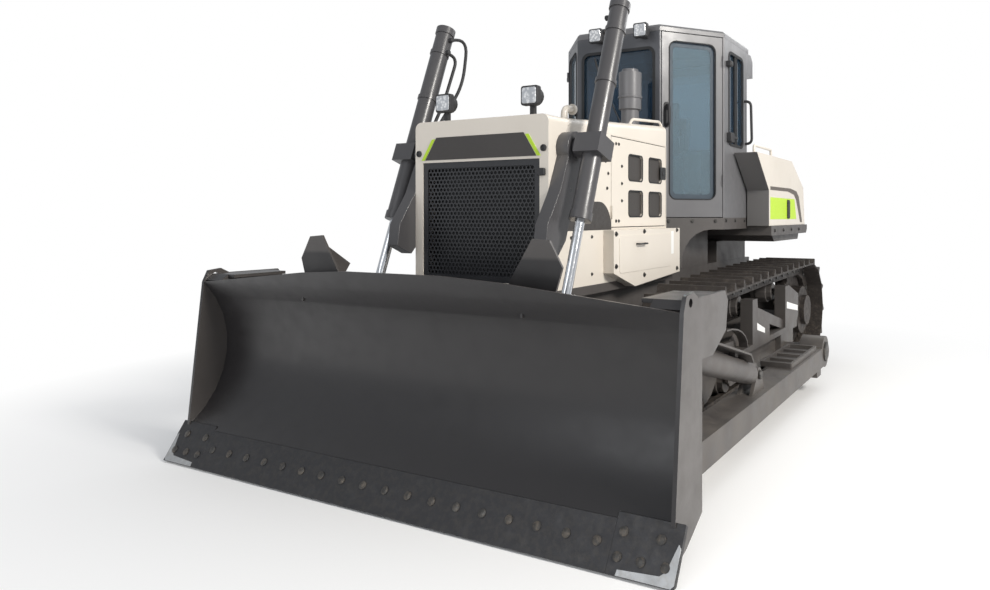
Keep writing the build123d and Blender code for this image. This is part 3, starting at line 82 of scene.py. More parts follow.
FILM = 0.001


class Body(Enum):
    """The bodies of the machine that pieces ride on."""

    MACHINE = "machine"
    BLADE = "blade_assembly"
    BARREL_LEFT = "lift_barrel_left"
    BARREL_RIGHT = "lift_barrel_right"
    DOOR_LEFT = "cab_door_left"
    DOOR_RIGHT = "cab_door_right"
    VENT_LEFT = "vent_door_left"
    VENT_RIGHT = "vent_door_right"


@dataclass
class Form:
    """The points and faces of a shape, before it becomes a mesh."""

    points: np.ndarray
    faces: list[tuple[int, ...]]

    @staticmethod
    def lattice(grid: np.ndarray, wrap: bool = True, caps: bool = True) -> Form:
        """Join a grid of points P(u, v) with four-sided faces.

        Args:
            grid: the points, as rows along u and columns along v.
            wrap: whether the last column meets the first.
            caps: whether the first and last rows are closed with a face.

        Returns:
            The form.
        """
        rows, columns = grid.shape[:2]
        index = np.arange(rows * columns).reshape(rows, columns)
        wide = np.hstack([index, index[:, :1]]) if wrap else index
        quads = np.stack([wide[:-1, :-1], wide[:-1, 1:], wide[1:, 1:], wide[1:, :-1]], -1).reshape(-1, 4)
        faces = [tuple(q) for q in quads.tolist()]
        if caps:
            faces += [tuple(index[0, ::-1].tolist()), tuple(index[-1].tolist())]
        return Form(grid.reshape(-1, 3), faces)

    @staticmethod
    def join(forms: list[Form]) -> Form:
        """Several forms as one."""
        faces, start = [], 0
        for form in forms:
            faces += [tuple(i + start for i in face) for face in form.faces]
            start += len(form.points)
        return Form(np.vstack([form.points for form in forms]), faces)

    def on(self, plane: Plane) -> Form:
        """The form, drawn flat, moved to a plane in space."""
        return Form(plane.points(self.points), self.faces)

    def mirrored(self) -> Form:
        """The same form on the machine's other side."""
        return Form(self.points * (-1.0, 1.0, 1.0), [face[::-1] for face in self.faces])

    def both(self) -> Form:
        """The form on both sides of the machine."""
        return Form.join([self, self.mirrored()])


@dataclass(frozen=True)
class Plane:
    """A plane in space: its origin, the way across, the way up, and out of it their product."""

    origin: Point
    across: Point = (1.0, 0.0, 0.0)
    up: Point = (0.0, 0.0, 1.0)

    def points(self, flat: np.ndarray) -> np.ndarray:
        """Points (a, b, h), h out of the plane, as points in space."""
        across, up = np.array(self.across), np.array(self.up)
        axes = np.stack([across, up, np.cross(across, up)])
        return np.array(self.origin) + flat @ axes

    def moved(self, a: float, b: float, h: float = 0.0) -> Plane:
        """The plane with its origin moved along its own axes."""
        return Plane(tuple(self.points(np.array([a, b, h]))), self.across, self.up)


def rings(outline: np.ndarray, levels: list[tuple[float, float]]) -> np.ndarray:
    """Rows of an outline, each moved in towards its middle and raised.

    Args:
        outline: the points (a, b) of a flat outline.
        levels: the inset and the height of each row.

    Returns:
        The grid of points (a, b, h), where P = middle + (outline - middle) (1 - inset / distance).
    """
    middle = outline.mean(axis=0)
    away = outline - middle
    distance = np.linalg.norm(away, axis=1, keepdims=True)
    rows = []
    for inset, height in levels:
        flat = middle + away * (1.0 - inset / distance)
        rows.append(np.hstack([flat, np.full((len(flat), 1), height)]))
    return np.stack(rows)


def rounded(width: float, height: float, corner: float, steps: int = 5) -> np.ndarray:
    """A rectangle's outline with round corners.

    Args:
        width: its width.
        height: its height.
        corner: the radius of its corners.
        steps: the number of points in a corner.

    Returns:
        The points (a, b), turning left.
    """
    turn = np.linspace(0.0, math.pi / 2, steps)
    parts = []
    for number, (a, b) in enumerate(((1, 1), (-1, 1), (-1, -1), (1, -1))):
        angle = turn + number * math.pi / 2
        centre = np.array([a * (width / 2 - corner), b * (height / 2 - corner)])
        parts.append(centre + corner * np.stack([np.cos(angle), np.sin(angle)], -1))
    return np.vstack(parts)


def circle(radius: float, count: int = 24) -> np.ndarray:
    """Points (a, b) = radius (cos t, sin t) for t round a full turn."""
    t = np.arange(count) * 2 * math.pi / count
    return radius * np.stack([np.cos(t), np.sin(t)], -1)


def plate(outline: np.ndarray | Outline, thickness: float, edge: float = 0.0006) -> Form:
    """A flat plate with a softened front edge, drawn flat."""
    edge = min(edge, thickness / 2)
    levels = [(0.0, 0.0), (0.0, thickness - edge), (edge, thickness)]
    return Form.lattice(rings(np.asarray(outline, float), levels))


def frame_ring(outer: np.ndarray, inner: np.ndarray, thickness: float) -> Form:
    """A closed band between two outlines of as many points, drawn flat."""
    flat = [np.hstack([o, np.full((len(o), 1), h)]) for o, h in
            ((outer, 0.0), (outer, thickness), (inner, thickness), (inner, 0.0), (outer, 0.0))]
    return Form.lattice(np.stack(flat), caps=False)


def drum(profile: Outline, count: int = 24) -> Form:
    """A turned piece: P(u, t) = (r(u) cos t, r(u) sin t, h(u)) for a profile of (r, h), drawn flat."""
    rows = [np.hstack([circle(radius, count), np.full((count, 1), height)]) for radius, height in profile]
    return Form.lattice(np.stack(rows))


def hex_bolt(size: float) -> Form:
    """A bolt's six-sided head on its washer, drawn flat, with its size across the corners."""
    washer = drum(((size * 0.78, 0.0), (size * 0.78, size * 0.12), (size * 0.74, size * 0.16)), 20)
    levels = [(0.0, size * 0.1), (0.0, size * 0.42), (size * 0.06, size * 0.5)]
    head = Form.lattice(rings(circle(size / 2, 6), levels))
    return Form.join([washer, head])


def honeycomb(width: float, height: float, pitch: float, hole: float, depth: float) -> Form:
    """A sheet of six-sided cells in staggered rows, each with a six-sided hole, drawn flat.

    A cell's corner k is C + r (sin kT, cos kT) with T a sixth of a turn, where r is pitch / sqrt 3 on the
    cell's border and the hole's radius inside it.

    Args:
        width: the sheet's width.
        height: its height.
        pitch: the distance between the cells of a row.
        hole: the radius of a hole.
        depth: the sheet's thickness.

    Returns:
        The form.
    """
    row = pitch * math.sqrt(3) / 2
    columns, rows = int(width / pitch), int(height / row)
    i, j = np.meshgrid(np.arange(columns), np.arange(rows), indexing="ij")
    a = (i - (columns - 1) / 2 + 0.5 * (j % 2) - 0.25) * pitch
    b = (j - (rows - 1) / 2) * row
    turn = np.arange(6) * math.pi / 3
    ring = np.stack([np.sin(turn), np.cos(turn)], -1)
    levels = ((pitch / math.sqrt(3), 0.0), (pitch / math.sqrt(3), depth), (hole, depth), (hole, 0.0))
    centres = np.stack([a.ravel(), b.ravel()], -1)[:, None, None, :]
    flat = centres + np.stack([radius * ring for radius, _ in levels])[None]
    heights = np.broadcast_to(np.array([h for _, h in levels])[None, :, None, None], flat.shape[:3] + (1,))
    points = np.concatenate([flat, heights], -1).reshape(-1, 3)
    k = np.arange(6)
    ahead = (k + 1) % 6
    cell = np.concatenate([np.stack([6 * n + k, 6 * m + k, 6 * m + ahead, 6 * n + ahead], -1)
                           for n, m in ((0, 1), (1, 2), (2, 3), (3, 0))])
    starts = np.arange(columns * rows)[:, None, None] * 24
    return Form(points, [tuple(face) for face in (cell[None] + starts).reshape(-1, 4).tolist()])


def copies(form: Form, planes: list[Plane]) -> Form:
    """One form repeated on several planes."""
    return Form.join([form.on(plane) for plane in planes])


def bolts(size: float, plane: Plane, spots: Outline) -> Form:
    """Bolt heads at spots of a plane."""
    return copies(hex_bolt(size), [plane.moved(*spot) for spot in spots])


@dataclass(frozen=True)
class Pad:
    """The sizes of a flat pad with round corners."""

    width: float
    height: float
    corner: float
    depth: float
    edge: float = 0.0006

    def form(self) -> Form:
        """The pad, drawn flat."""
        return plate(rounded(self.width, self.height, self.corner), self.depth, self.edge)


@dataclass(frozen=True)
class Band:
    """The sizes of a band between two rectangles, each a width, a height and the radius of its corners."""

    outer: Point
    inner: Point
    depth: float
    steps: int = 5

    def form(self) -> Form:
        """The band, drawn flat."""
        return frame_ring(rounded(*self.outer, self.steps), rounded(*self.inner, self.steps), self.depth)


def bent_path(corners: Line | list[Point], radius: float, steps: int = 7) -> np.ndarray:
    """A line through corners, each rounded by B(t) = (1-t)^2 a + 2t(1-t) corner + t^2 b.

    Args:
        corners: the line's corners.
        radius: how far from a corner its bend begins.
        steps: the number of points in a bend.

    Returns:
        The line's points.
    """
    c = np.array(corners, float)
    t = np.linspace(0.0, 1.0, steps)[:, None]
    parts = [c[:1]]
    for before, corner, after in zip(c[:-2], c[1:-1], c[2:]):
        a = corner + radius * (before - corner) / np.linalg.norm(before - corner)
        b = corner + radius * (after - corner) / np.linalg.norm(after - corner)
        parts.append((1 - t) ** 2 * a + 2 * t * (1 - t) * corner + t ** 2 * b)
    parts.append(c[-1:])
    return np.vstack(parts)


def bar(path: np.ndarray, radius: float, normal: Point, count: int = 12) -> Form:
    """A round bar along a flat line: P(s, t) = path(s) + radius (cos t side(s) + sin t normal).

    Args:
        path: the line's points.
        radius: the bar's radius.
        normal: the direction square to the line's plane.
        count: the number of points round the bar.

    Returns:
        The form.
    """
    along = np.gradient(path, axis=0)
    along /= np.linalg.norm(along, axis=1, keepdims=True)
    across = np.array(normal, float) / np.linalg.norm(normal)
    side = np.cross(across, along)
    ring = circle(radius, count)
    grid = path[:, None, :] + ring[None, :, :1] * side[:, None, :] + ring[None, :, 1:] * across
    return Form.lattice(grid)


def add_node(tree: bpy.types.NodeTree, kind: str, **inputs: object) -> bpy.types.Node:
    """Add a shader node and fill its inputs, whose names have underscores for spaces.

    Args:
        tree: the tree that gets the node.
        kind: the node's kind, without the words that all kinds start with.
        inputs: for each input, a socket to link to it or its value.

    Returns:
        The node.
    """
    node = tree.nodes.new(f"ShaderNode{kind}")
    for name, value in inputs.items():
        socket = node.inputs[name.replace("_", " ")]
        if isinstance(value, bpy.types.NodeSocket):
            tree.links.new(value, socket)
        else:
            socket.default_value = value
    return node


class Shader:
    """A material's node tree round one Principled shader."""

    def __init__(self, name: str) -> None:
        """Start a material with its Principled shader.

        Args:
            name: the material's name.
        """
        self.material = bpy.data.materials.new(name)
        self.material.use_nodes = True
        self.tree = self.material.node_tree
        self.surface = self.tree.nodes["Principled BSDF"]
        self.place = add_node(self.tree, "TexCoord").outputs["Object"]

    def set(self, **sockets: object) -> None:
        """Set the shader's own sockets, with underscores for the spaces in their names."""
        for name, value in sockets.items():
            self.surface.inputs[name.replace("_", " ")].default_value = value

    def noise(self, scale: float, detail: float = 4.0, roughness: float = 0.55) -> bpy.types.NodeSocket:
        """A noise pattern on Object coordinates.

        Args:
            scale: how many cells fit in a metre.
            detail: the number of finer layers.
            roughness: how strong those layers are.

        Returns:
            The pattern's factor.
        """
        return add_node(self.tree, "TexNoise", Scale=scale, Detail=detail, Roughness=roughness,
                        Vector=self.place).outputs["Fac"]

    def ramp(self, factor: bpy.types.NodeSocket, low: float, high: float, start: float,
             end: float) -> bpy.types.NodeSocket:
        """A value that runs from start to end as the factor goes from low to high.

        Args:
            factor: the value that drives the range.
            low: the factor where the range starts.
            high: the factor where the range ends.
            start: the result at low.
            end: the result at high.

        Returns:
            The result, held at both ends.
        """
        return add_node(self.tree, "MapRange", From_Min=low, From_Max=high, To_Min=start, To_Max=end,
                        Value=factor).outputs["Result"]

    def times(self, first: bpy.types.NodeSocket, second: bpy.types.NodeSocket) -> bpy.types.NodeSocket:
        """The product of two values."""
        node = self.tree.nodes.new("ShaderNodeMath")
        node.operation = "MULTIPLY"
        self.tree.links.new(first, node.inputs[0])
        self.tree.links.new(second, node.inputs[1])
        return node.outputs["Value"]

    def faces_front(self) -> bpy.types.NodeSocket:
        """One where the surface faces the machine's front, and zero elsewhere."""
        normal = add_node(self.tree, "TexCoord").outputs["Normal"]
        split = add_node(self.tree, "SeparateXYZ", Vector=normal)
        return self.ramp(split.outputs["Y"], -0.32, -0.28, 1.0, 0.0)

    def height(self) -> bpy.types.NodeSocket:
        """How high a point lies above the ground."""
        return add_node(self.tree, "SeparateXYZ", Vector=self.place).outputs["Z"]

    def mix(self, factor: bpy.types.NodeSocket, first: object, second: object) -> bpy.types.NodeSocket:
        """A colour between two, each a colour or a socket.

        Args:
            factor: 0 for the first colour and 1 for the second.
            first: the first colour.
            second: the second colour.

        Returns:
            The mixed colour.
        """
        node = self.tree.nodes.new("ShaderNodeMix")
        node.data_type = "RGBA"
        self.tree.links.new(factor, node.inputs["Factor"])
        for name, value in (("A", first), ("B", second)):
            socket = [s for s in node.inputs if s.name == name and s.type == "RGBA"][0]
            if isinstance(value, bpy.types.NodeSocket):
                self.tree.links.new(value, socket)
            else:
                socket.default_value = (*value, 1.0)
        return [s for s in node.outputs if s.type == "RGBA"][0]

    def feed(self, name: str, socket: bpy.types.NodeSocket) -> None:
        """Link a socket to one of the shader's inputs."""
        self.tree.links.new(socket, self.surface.inputs[name])

    def bump(self, pattern: bpy.types.NodeSocket, depth: float, strength: float = 1.0) -> None:
        """Raise the surface by a pattern.

        Args:
            pattern: the height pattern, from 0 to 1.
            depth: the height in metres that 1 stands for.
            strength: how strongly the pattern turns the surface.
        """
        node = add_node(self.tree, "Bump", Distance=depth, Strength=strength, Height=pattern)
        self.feed("Normal", node.outputs["Normal"])


@dataclass(frozen=True)
class Paint:
    """A sprayed coat: two close tones, an orange-peel skin, dust towards the ground and a front colour, which
    is painted shade on the blade.
    """

    name: str
    colour: Colour
    shade: Colour
    roughness: float = 0.38
    coat: float = 0.25
    dust: Colour = (0.30, 0.26, 0.21)
    dust_height: float = 0.0
    dust_strength: float = 0.3
    # Where given, the colour of faces towards the front below front_top; on the blade it is painted shade.
    front: Colour | None = None
    front_top: float = 4.0

    def make(self) -> bpy.types.Material:
        """Build the coat's material."""
        s = Shader(self.name)
        s.set(Coat_Weight=self.coat, Coat_Roughness=0.22)
        broad = s.ramp(s.noise(1.7, 5.0), 0.35, 0.7, 0.0, 1.0)
        colour = s.mix(broad, self.colour, self.shade)
        if self.dust_height > 0.0:
            low = s.ramp(s.height(), 0.0, self.dust_height, self.dust_strength, 0.0)
            patchy = s.ramp(s.noise(4.5, 8.0, 0.62), 0.40, 0.75, 0.0, 1.0)
            colour = s.mix(s.times(low, patchy), colour, self.dust)
        # Faces towards the front below front_top take the front colour: painted shade on the blade.
        if self.front is not None:
            below = s.ramp(s.height(), self.front_top, self.front_top + 0.02, 1.0, 0.0)
            colour = s.mix(s.times(s.faces_front(), below), colour, self.front)
        s.feed("Base Color", colour)
        s.feed("Roughness", s.ramp(s.noise(9.0, 6.0), 0.3, 0.7, self.roughness - 0.07, self.roughness + 0.1))
        s.bump(s.noise(420.0, 2.0), 0.0006, 0.35)
        return s.material


@dataclass(frozen=True)
class WornSteel:
    """Bare or thinly painted steel, with rubbed streaks and soil in its pores."""

    name: str
    colour: Colour
    worn: Colour
    metallic: float = 0.35
    roughness: float = 0.55
    soil: Colour = (0.20, 0.165, 0.13)

    def make(self) -> bpy.types.Material:
        """Build the steel's material."""
        s = Shader(self.name)
        s.set(Metallic=self.metallic)
        rubbed = s.ramp(s.noise(14.0, 9.0, 0.68), 0.52, 0.7, 0.0, 0.8)
        colour = s.mix(rubbed, self.colour, self.worn)
        low = s.ramp(s.height(), 0.05, 0.75, 0.5, 0.05)
        speckle = s.ramp(s.noise(34.0, 8.0, 0.7), 0.45, 0.62, 0.0, 1.0)
        s.feed("Base Color", s.mix(s.times(low, speckle), colour, self.soil))
        gloss = s.ramp(s.noise(20.0, 6.0), 0.3, 0.7, self.roughness - 0.12, self.roughness + 0.15)
        s.feed("Roughness", gloss)
        s.bump(s.noise(150.0, 6.0, 0.65), 0.0012, 0.4)
        return s.material


@dataclass(frozen=True)
class Chromed:
    """Hard chrome on a cylinder's rod."""

    name: str = "rod chrome"
    colour: Colour = (0.80, 0.81, 0.83)

    def make(self) -> bpy.types.Material:
        """Build the chrome's material."""
        s = Shader(self.name)
        s.set(Metallic=1.0)
        s.feed("Base Color", s.mix(s.noise(3.0), self.colour, (0.70, 0.72, 0.75)))
        s.feed("Roughness", s.ramp(s.noise(60.0, 3.0), 0.3, 0.7, 0.12, 0.2))
        return s.material


@dataclass(frozen=True)
class Glazing:
    """Tinted safety glass."""

    name: str = "tinted glass"
    colour: Colour = (0.50, 0.68, 0.79)

    def make(self) -> bpy.types.Material:
        """Build the glass's material."""
        s = Shader(self.name)
        s.set(Transmission_Weight=0.82, IOR=1.45, Roughness=0.02, Coat_Weight=0.6, Coat_Roughness=0.02)
        deeper = tuple(0.86 * part for part in self.colour)
        s.feed("Base Color", s.mix(s.noise(1.2), self.colour, deeper))
        return s.material


@dataclass(frozen=True)
class Moulded:
    """Moulded plastic or rubber with a fine grain."""

    name: str
    colour: Colour
    shade: Colour
    roughness: float = 0.6

    def make(self) -> bpy.types.Material:
        """Build the plastic's material."""
        s = Shader(self.name)
        s.feed("Base Color", s.mix(s.noise(6.0, 5.0), self.colour, self.shade))
        s.feed("Roughness", s.ramp(s.noise(40.0), 0.3, 0.7, self.roughness - 0.08, self.roughness + 0.1))
        s.bump(s.noise(700.0, 3.0), 0.0004, 0.5)
        return s.material


@dataclass(frozen=True)
class SeatCloth:
    """Woven seat cloth: two crossed waves of yarn."""

    name: str = "seat cloth"
    colour: Colour = (0.035, 0.036, 0.04)
    yarn: Colour = (0.075, 0.078, 0.085)

    def make(self) -> bpy.types.Material:
        """Build the cloth's material."""
        s = Shader(self.name)
        s.set(Sheen_Weight=0.35, Roughness=0.9)
        waves = []
        for direction in ("X", "Z"):
            node = add_node(s.tree, "TexWave", Scale=130.0, Vector=s.place)
            node.bands_direction = direction
            waves.append(node.outputs["Fac"])
        weave = s.times(waves[0], waves[1])
        s.feed("Base Color", s.mix(weave, self.colour, self.yarn))
        s.bump(weave, 0.0008, 0.6)
        return s.material


@dataclass(frozen=True)
class Perforated:
    """A dark sheet with closely set holes, drawn as deep dark cells: painted shade in the holes."""

    name: str = "perforated sheet"
    pitch: float = 0.011

    def make(self) -> bpy.types.Material:
        """Build the sheet's material."""
        s = Shader(self.name)
        cells = add_node(s.tree, "TexVoronoi", Scale=1.0 / self.pitch, Randomness=0.0, Vector=s.place)
        web = s.ramp(cells.outputs["Distance"], 0.34, 0.42, 0.0, 1.0)
        # The holes are near black, painted shade; the web between them is dark grey.
        s.feed("Base Color", s.mix(web, (0.012, 0.012, 0.013), (0.050, 0.045, 0.042)))
        s.set(Roughness=0.5)
        s.bump(web, 0.004, 0.8)
        return s.material


@dataclass(frozen=True)
class LampLens:
    """A lamp's clear lens over bright reflector cells."""

    name: str = "lamp lens"

    def make(self) -> bpy.types.Material:
        """Build the lens's material."""
        s = Shader(self.name)
        cells = add_node(s.tree, "TexVoronoi", Scale=48.0, Vector=s.place)
        spots = s.ramp(cells.outputs["Distance"], 0.1, 0.6, 0.0, 1.0)
        s.feed("Base Color", s.mix(spots, (0.86, 0.87, 0.88), (0.42, 0.44, 0.47)))
        s.set(Roughness=0.12, Coat_Weight=0.8, Coat_Roughness=0.05)
        s.bump(spots, 0.002, 0.5)
        return s.material


class Finish(Enum):
    """The finishes of the machine."""

    CREAM = Paint("cream paint", (0.72, 0.665, 0.59), (0.68, 0.625, 0.55), 0.36, 0.3)
    TANK_PAINT = Paint("tank paint", (0.72, 0.665, 0.59), (0.68, 0.625, 0.55), 0.36, 0.3,
                       front=(0.150, 0.145, 0.143))
    CAB_GREY = Paint("cab grey paint", (0.140, 0.139, 0.145), (0.120, 0.119, 0.125), 0.38, 0.25)
    FRAME_GREY = Paint("frame grey paint", (0.082, 0.074, 0.070), (0.062, 0.056, 0.053), 0.5, 0.12,
                       dust_height=0.9)
    # The blade's front faces below 1.27 m are far darker than its sides: painted shade.
    BLADE_GREY = Paint("blade grey paint and painted front shade", (0.082, 0.074, 0.070), (0.062, 0.056, 0.053), 0.36, 0.2,
                       front=(0.018, 0.0165, 0.0175), front_top=1.27)
    # The cab front is a darker copy of the cab grey: painted shade.
    CAB_FRONT = Paint("cab front painted shade", (0.075, 0.078, 0.088), (0.062, 0.065, 0.074), 0.4, 0.2)
    # The windscreen is tinted far darker than the door glass: painted shade for the dark cab behind it.
    WINDSCREEN = Glazing("windscreen glass in painted shade", (0.12, 0.20, 0.29))
    CYLINDER_GREY = Paint("cylinder grey paint", (0.068, 0.066, 0.069), (0.056, 0.054, 0.057), 0.33, 0.3)
    TRACK_STEEL = WornSteel("track steel", (0.040, 0.034, 0.031), (0.10, 0.085, 0.075))
    EDGE_STEEL = WornSteel("cutting edge steel", (0.034, 0.034, 0.037), (0.050, 0.050, 0.053), 0.4, 0.42,
                           (0.06, 0.055, 0.05))
    BRIGHT_EDGE = WornSteel("worn bright steel", (0.42, 0.43, 0.44), (0.60, 0.61, 0.62), 0.5, 0.4,
                            (0.35, 0.34, 0.32))
    CHROME = Chromed()
    GLASS = Glazing()
    BLACK = Moulded("black plastic", (0.022, 0.022, 0.024), (0.032, 0.032, 0.034))
    GRILLE_BLACK = Paint("grille black paint", (0.020, 0.021, 0.025), (0.014, 0.015, 0.018), 0.4, 0.2)
    SEAT = SeatCloth()
    LENS = LampLens()
    ENGINE = Paint("engine paint", (0.05, 0.052, 0.056), (0.035, 0.036, 0.04), 0.5, 0.1)
    RUBBER = Moulded("rubber seal", (0.016, 0.017, 0.019), (0.024, 0.025, 0.027), 0.75)
    GLASS_EDGE = Moulded("printed glass edge", (0.040, 0.062, 0.085), (0.034, 0.053, 0.073), 0.55)
    GREEN_FILM = Moulded("green film", (0.50, 0.72, 0.035), (0.46, 0.68, 0.030), 0.4)
    DARK_FILM = Moulded("dark film", (0.040, 0.036, 0.034), (0.050, 0.045, 0.042), 0.45)
    BROWN_FILM = Moulded("grey brown film", (0.115, 0.095, 0.080), (0.100, 0.083, 0.070), 0.45)
    WHITE_FILM = Moulded("white film", (0.88, 0.88, 0.86), (0.82, 0.82, 0.80), 0.4)
    BOLT_STEEL = WornSteel("bolt steel", (0.060, 0.058, 0.056), (0.17, 0.165, 0.155), 0.6, 0.42)
    MESH = Perforated()

    def material(self) -> bpy.types.Material:
        """The finish's material, which is made at its first use."""
        return bpy.data.materials.get(self.value.name) or self.value.make()


# The finish of the nodes whose names start so. The first that fits holds, and the rest are frame grey.
NODE_FINISHES = {
    "cab_glass": Finish.WINDSCREEN, "door_glass": Finish.GLASS, "cab_front": Finish.CAB_FRONT,
    "cab_": Finish.CAB_GREY, "air_cleaner": Finish.CAB_GREY, "ac_unit": Finish.CAB_GREY,
    "radiator_guard": Finish.CREAM, "hood_top": Finish.CREAM, "side_panels": Finish.CREAM,
    "vent_door": Finish.CREAM, "tool_boxes": Finish.CREAM, "fuel_tank": Finish.TANK_PAINT,
    "grille": Finish.GRILLE_BLACK, "radiator": Finish.ENGINE, "engine": Finish.ENGINE,
    "dashboard": Finish.BLACK, "seat_base": Finish.BLACK, "control_boxes": Finish.BLACK,
    "work_lamps": Finish.BLACK, "seat": Finish.SEAT, "lift_rod": Finish.CHROME,
    "lift_": Finish.CYLINDER_GREY, "cylinder_brackets": Finish.CYLINDER_GREY,
    "cutting_edge": Finish.EDGE_STEEL, "end_bits": Finish.EDGE_STEEL, "blade": Finish.BLADE_GREY,
    "track_left": Finish.TRACK_STEEL, "track_right": Finish.TRACK_STEEL, "sprockets": Finish.TRACK_STEEL,
}


@dataclass
class Machine:
    """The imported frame, whose nodes each get a finish."""

    frame: dict
    bevel: float = 0.003
    bevel_angle: float = math.radians(26.0)
    weld_distance: float = 0.00005

    def finish_of(self, node: str) -> Finish:
        """The finish that suits a node's name."""
        fitting = [finish for start, finish in NODE_FINISHES.items() if node.startswith(start)]
        return fitting[0] if fitting else Finish.FRAME_GREY

    def dress(self) -> None:
        """Give every node its finish, smooth shading and a small bevel on its hard edges."""
        smooth = self.smooth_shading()
        for name, node in self.frame["nodes"].items():
            finish = self.finish_of(name)
            node.material_slots[0].material = finish.material()
            node.modifiers.new("shading", "NODES").node_group = smooth
            if "glass" not in name:
                self.soften(node)
            LOG.info("dressed %s in %s", name, finish.value.name)

    def smooth_shading(self) -> bpy.types.NodeTree:
        """A modifier's nodes that shade a node smoothly and leave its mesh as it is."""
        tree = bpy.data.node_groups.new("smooth shading", "GeometryNodeTree")
        for way in ("INPUT", "OUTPUT"):
            tree.interface.new_socket("Geometry", in_out=way, socket_type="NodeSocketGeometry")
        steps = [tree.nodes.new(kind) for kind in ("NodeGroupInput", "GeometryNodeRemoveAttribute",
                                                   "GeometryNodeSetShadeSmooth", "NodeGroupOutput")]
        steps[1].inputs["Name"].default_value = "custom_normal"
        for before, after in zip(steps[:-1], steps[1:]):
            tree.links.new(before.outputs["Geometry"], after.inputs["Geometry"])
        return tree

    def soften(self, node: bpy.types.Object) -> None:
        """Join a node's loose triangles and round its hard edges, by modifiers."""
        node.modifiers.new("weld", "WELD").merge_threshold = self.weld_distance
        edge = node.modifiers.new("edge", "BEVEL")
        edge.width = self.bevel
        edge.segments = 2
        edge.limit_method = "ANGLE"
        edge.angle_limit = self.bevel_angle
        edge.harden_normals = True


class Trim:
    """The small pieces that dress the machine, each riding on its body."""

    def add(self, name: str, form: Form, finish: Finish, body: Body = Body.MACHINE, slot: str = "",
            smooth: bool = True) -> bpy.types.Object:
        """Make a piece and let it ride.

        Args:
            name: the piece's name.
            form: its shape, already in its place.
            finish: its finish.
            body: the body that carries it.
            slot: the record's slot, where it isn't the finish's usual one; not used.
            smooth: whether its curved faces are shaded as one.

        Returns:
            The piece's object.
        """
        mesh = bpy.data.meshes.new(name)
        mesh.from_pydata(form.points.tolist(), [], form.faces)
        mesh.materials.append(finish.material())
        mesh.validate()
        piece = bpy.data.objects.new(name, mesh)
        bpy.context.scene.collection.objects.link(piece)
        if smooth:
            mesh.shade_smooth()
            mesh.set_sharp_from_angle(angle=SHARP_ANGLE)
        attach(piece, body.value)
        LOG.info("made %s on %s", name, body.value)
        return piece

    def add_pair(self, name: str, form: Form, finish: Finish, bodies: tuple[Body, Body],
                 smooth: bool = True) -> None:
        """Make a piece on the left body, and its mirror image on the right one."""
        for side, body, shape in zip(("left", "right"), bodies, (form, form.mirrored())):
            self.add(f"{name}_{side}", shape, finish, body, smooth=smooth)


SHARP_ANGLE = math.radians(35.0)
DOORS = (Body.DOOR_LEFT, Body.DOOR_RIGHT)
VENTS = (Body.VENT_LEFT, Body.VENT_RIGHT)
BARRELS = (Body.BARREL_LEFT, Body.BARREL_RIGHT)
LENGTHWISE = (0.0, 1.0, 0.0)
HOOD_FRONT = Plane((0.0, -1.695, 0.0))
HOOD_SIDE = Plane((0.512, 0.0, 0.0), LENGTHWISE)
BOX_SIDE = Plane((0.592, 0.0, 0.0), LENGTHWISE)
TANK_SIDE = Plane((1.0, 0.0, 0.0), LENGTHWISE)
CAB_SIDE = Plane((0.78, 0.0, 0.0), LENGTHWISE)
DOOR_FACE = Plane((0.39, 0.095, 0.0), (0.6426, 0.7662, 0.0))
BLADE_EDGE = Plane((0.0, -2.5749, 0.0101), (1.0, 0.0, 0.0), (0.0, 0.5276, 0.8495))


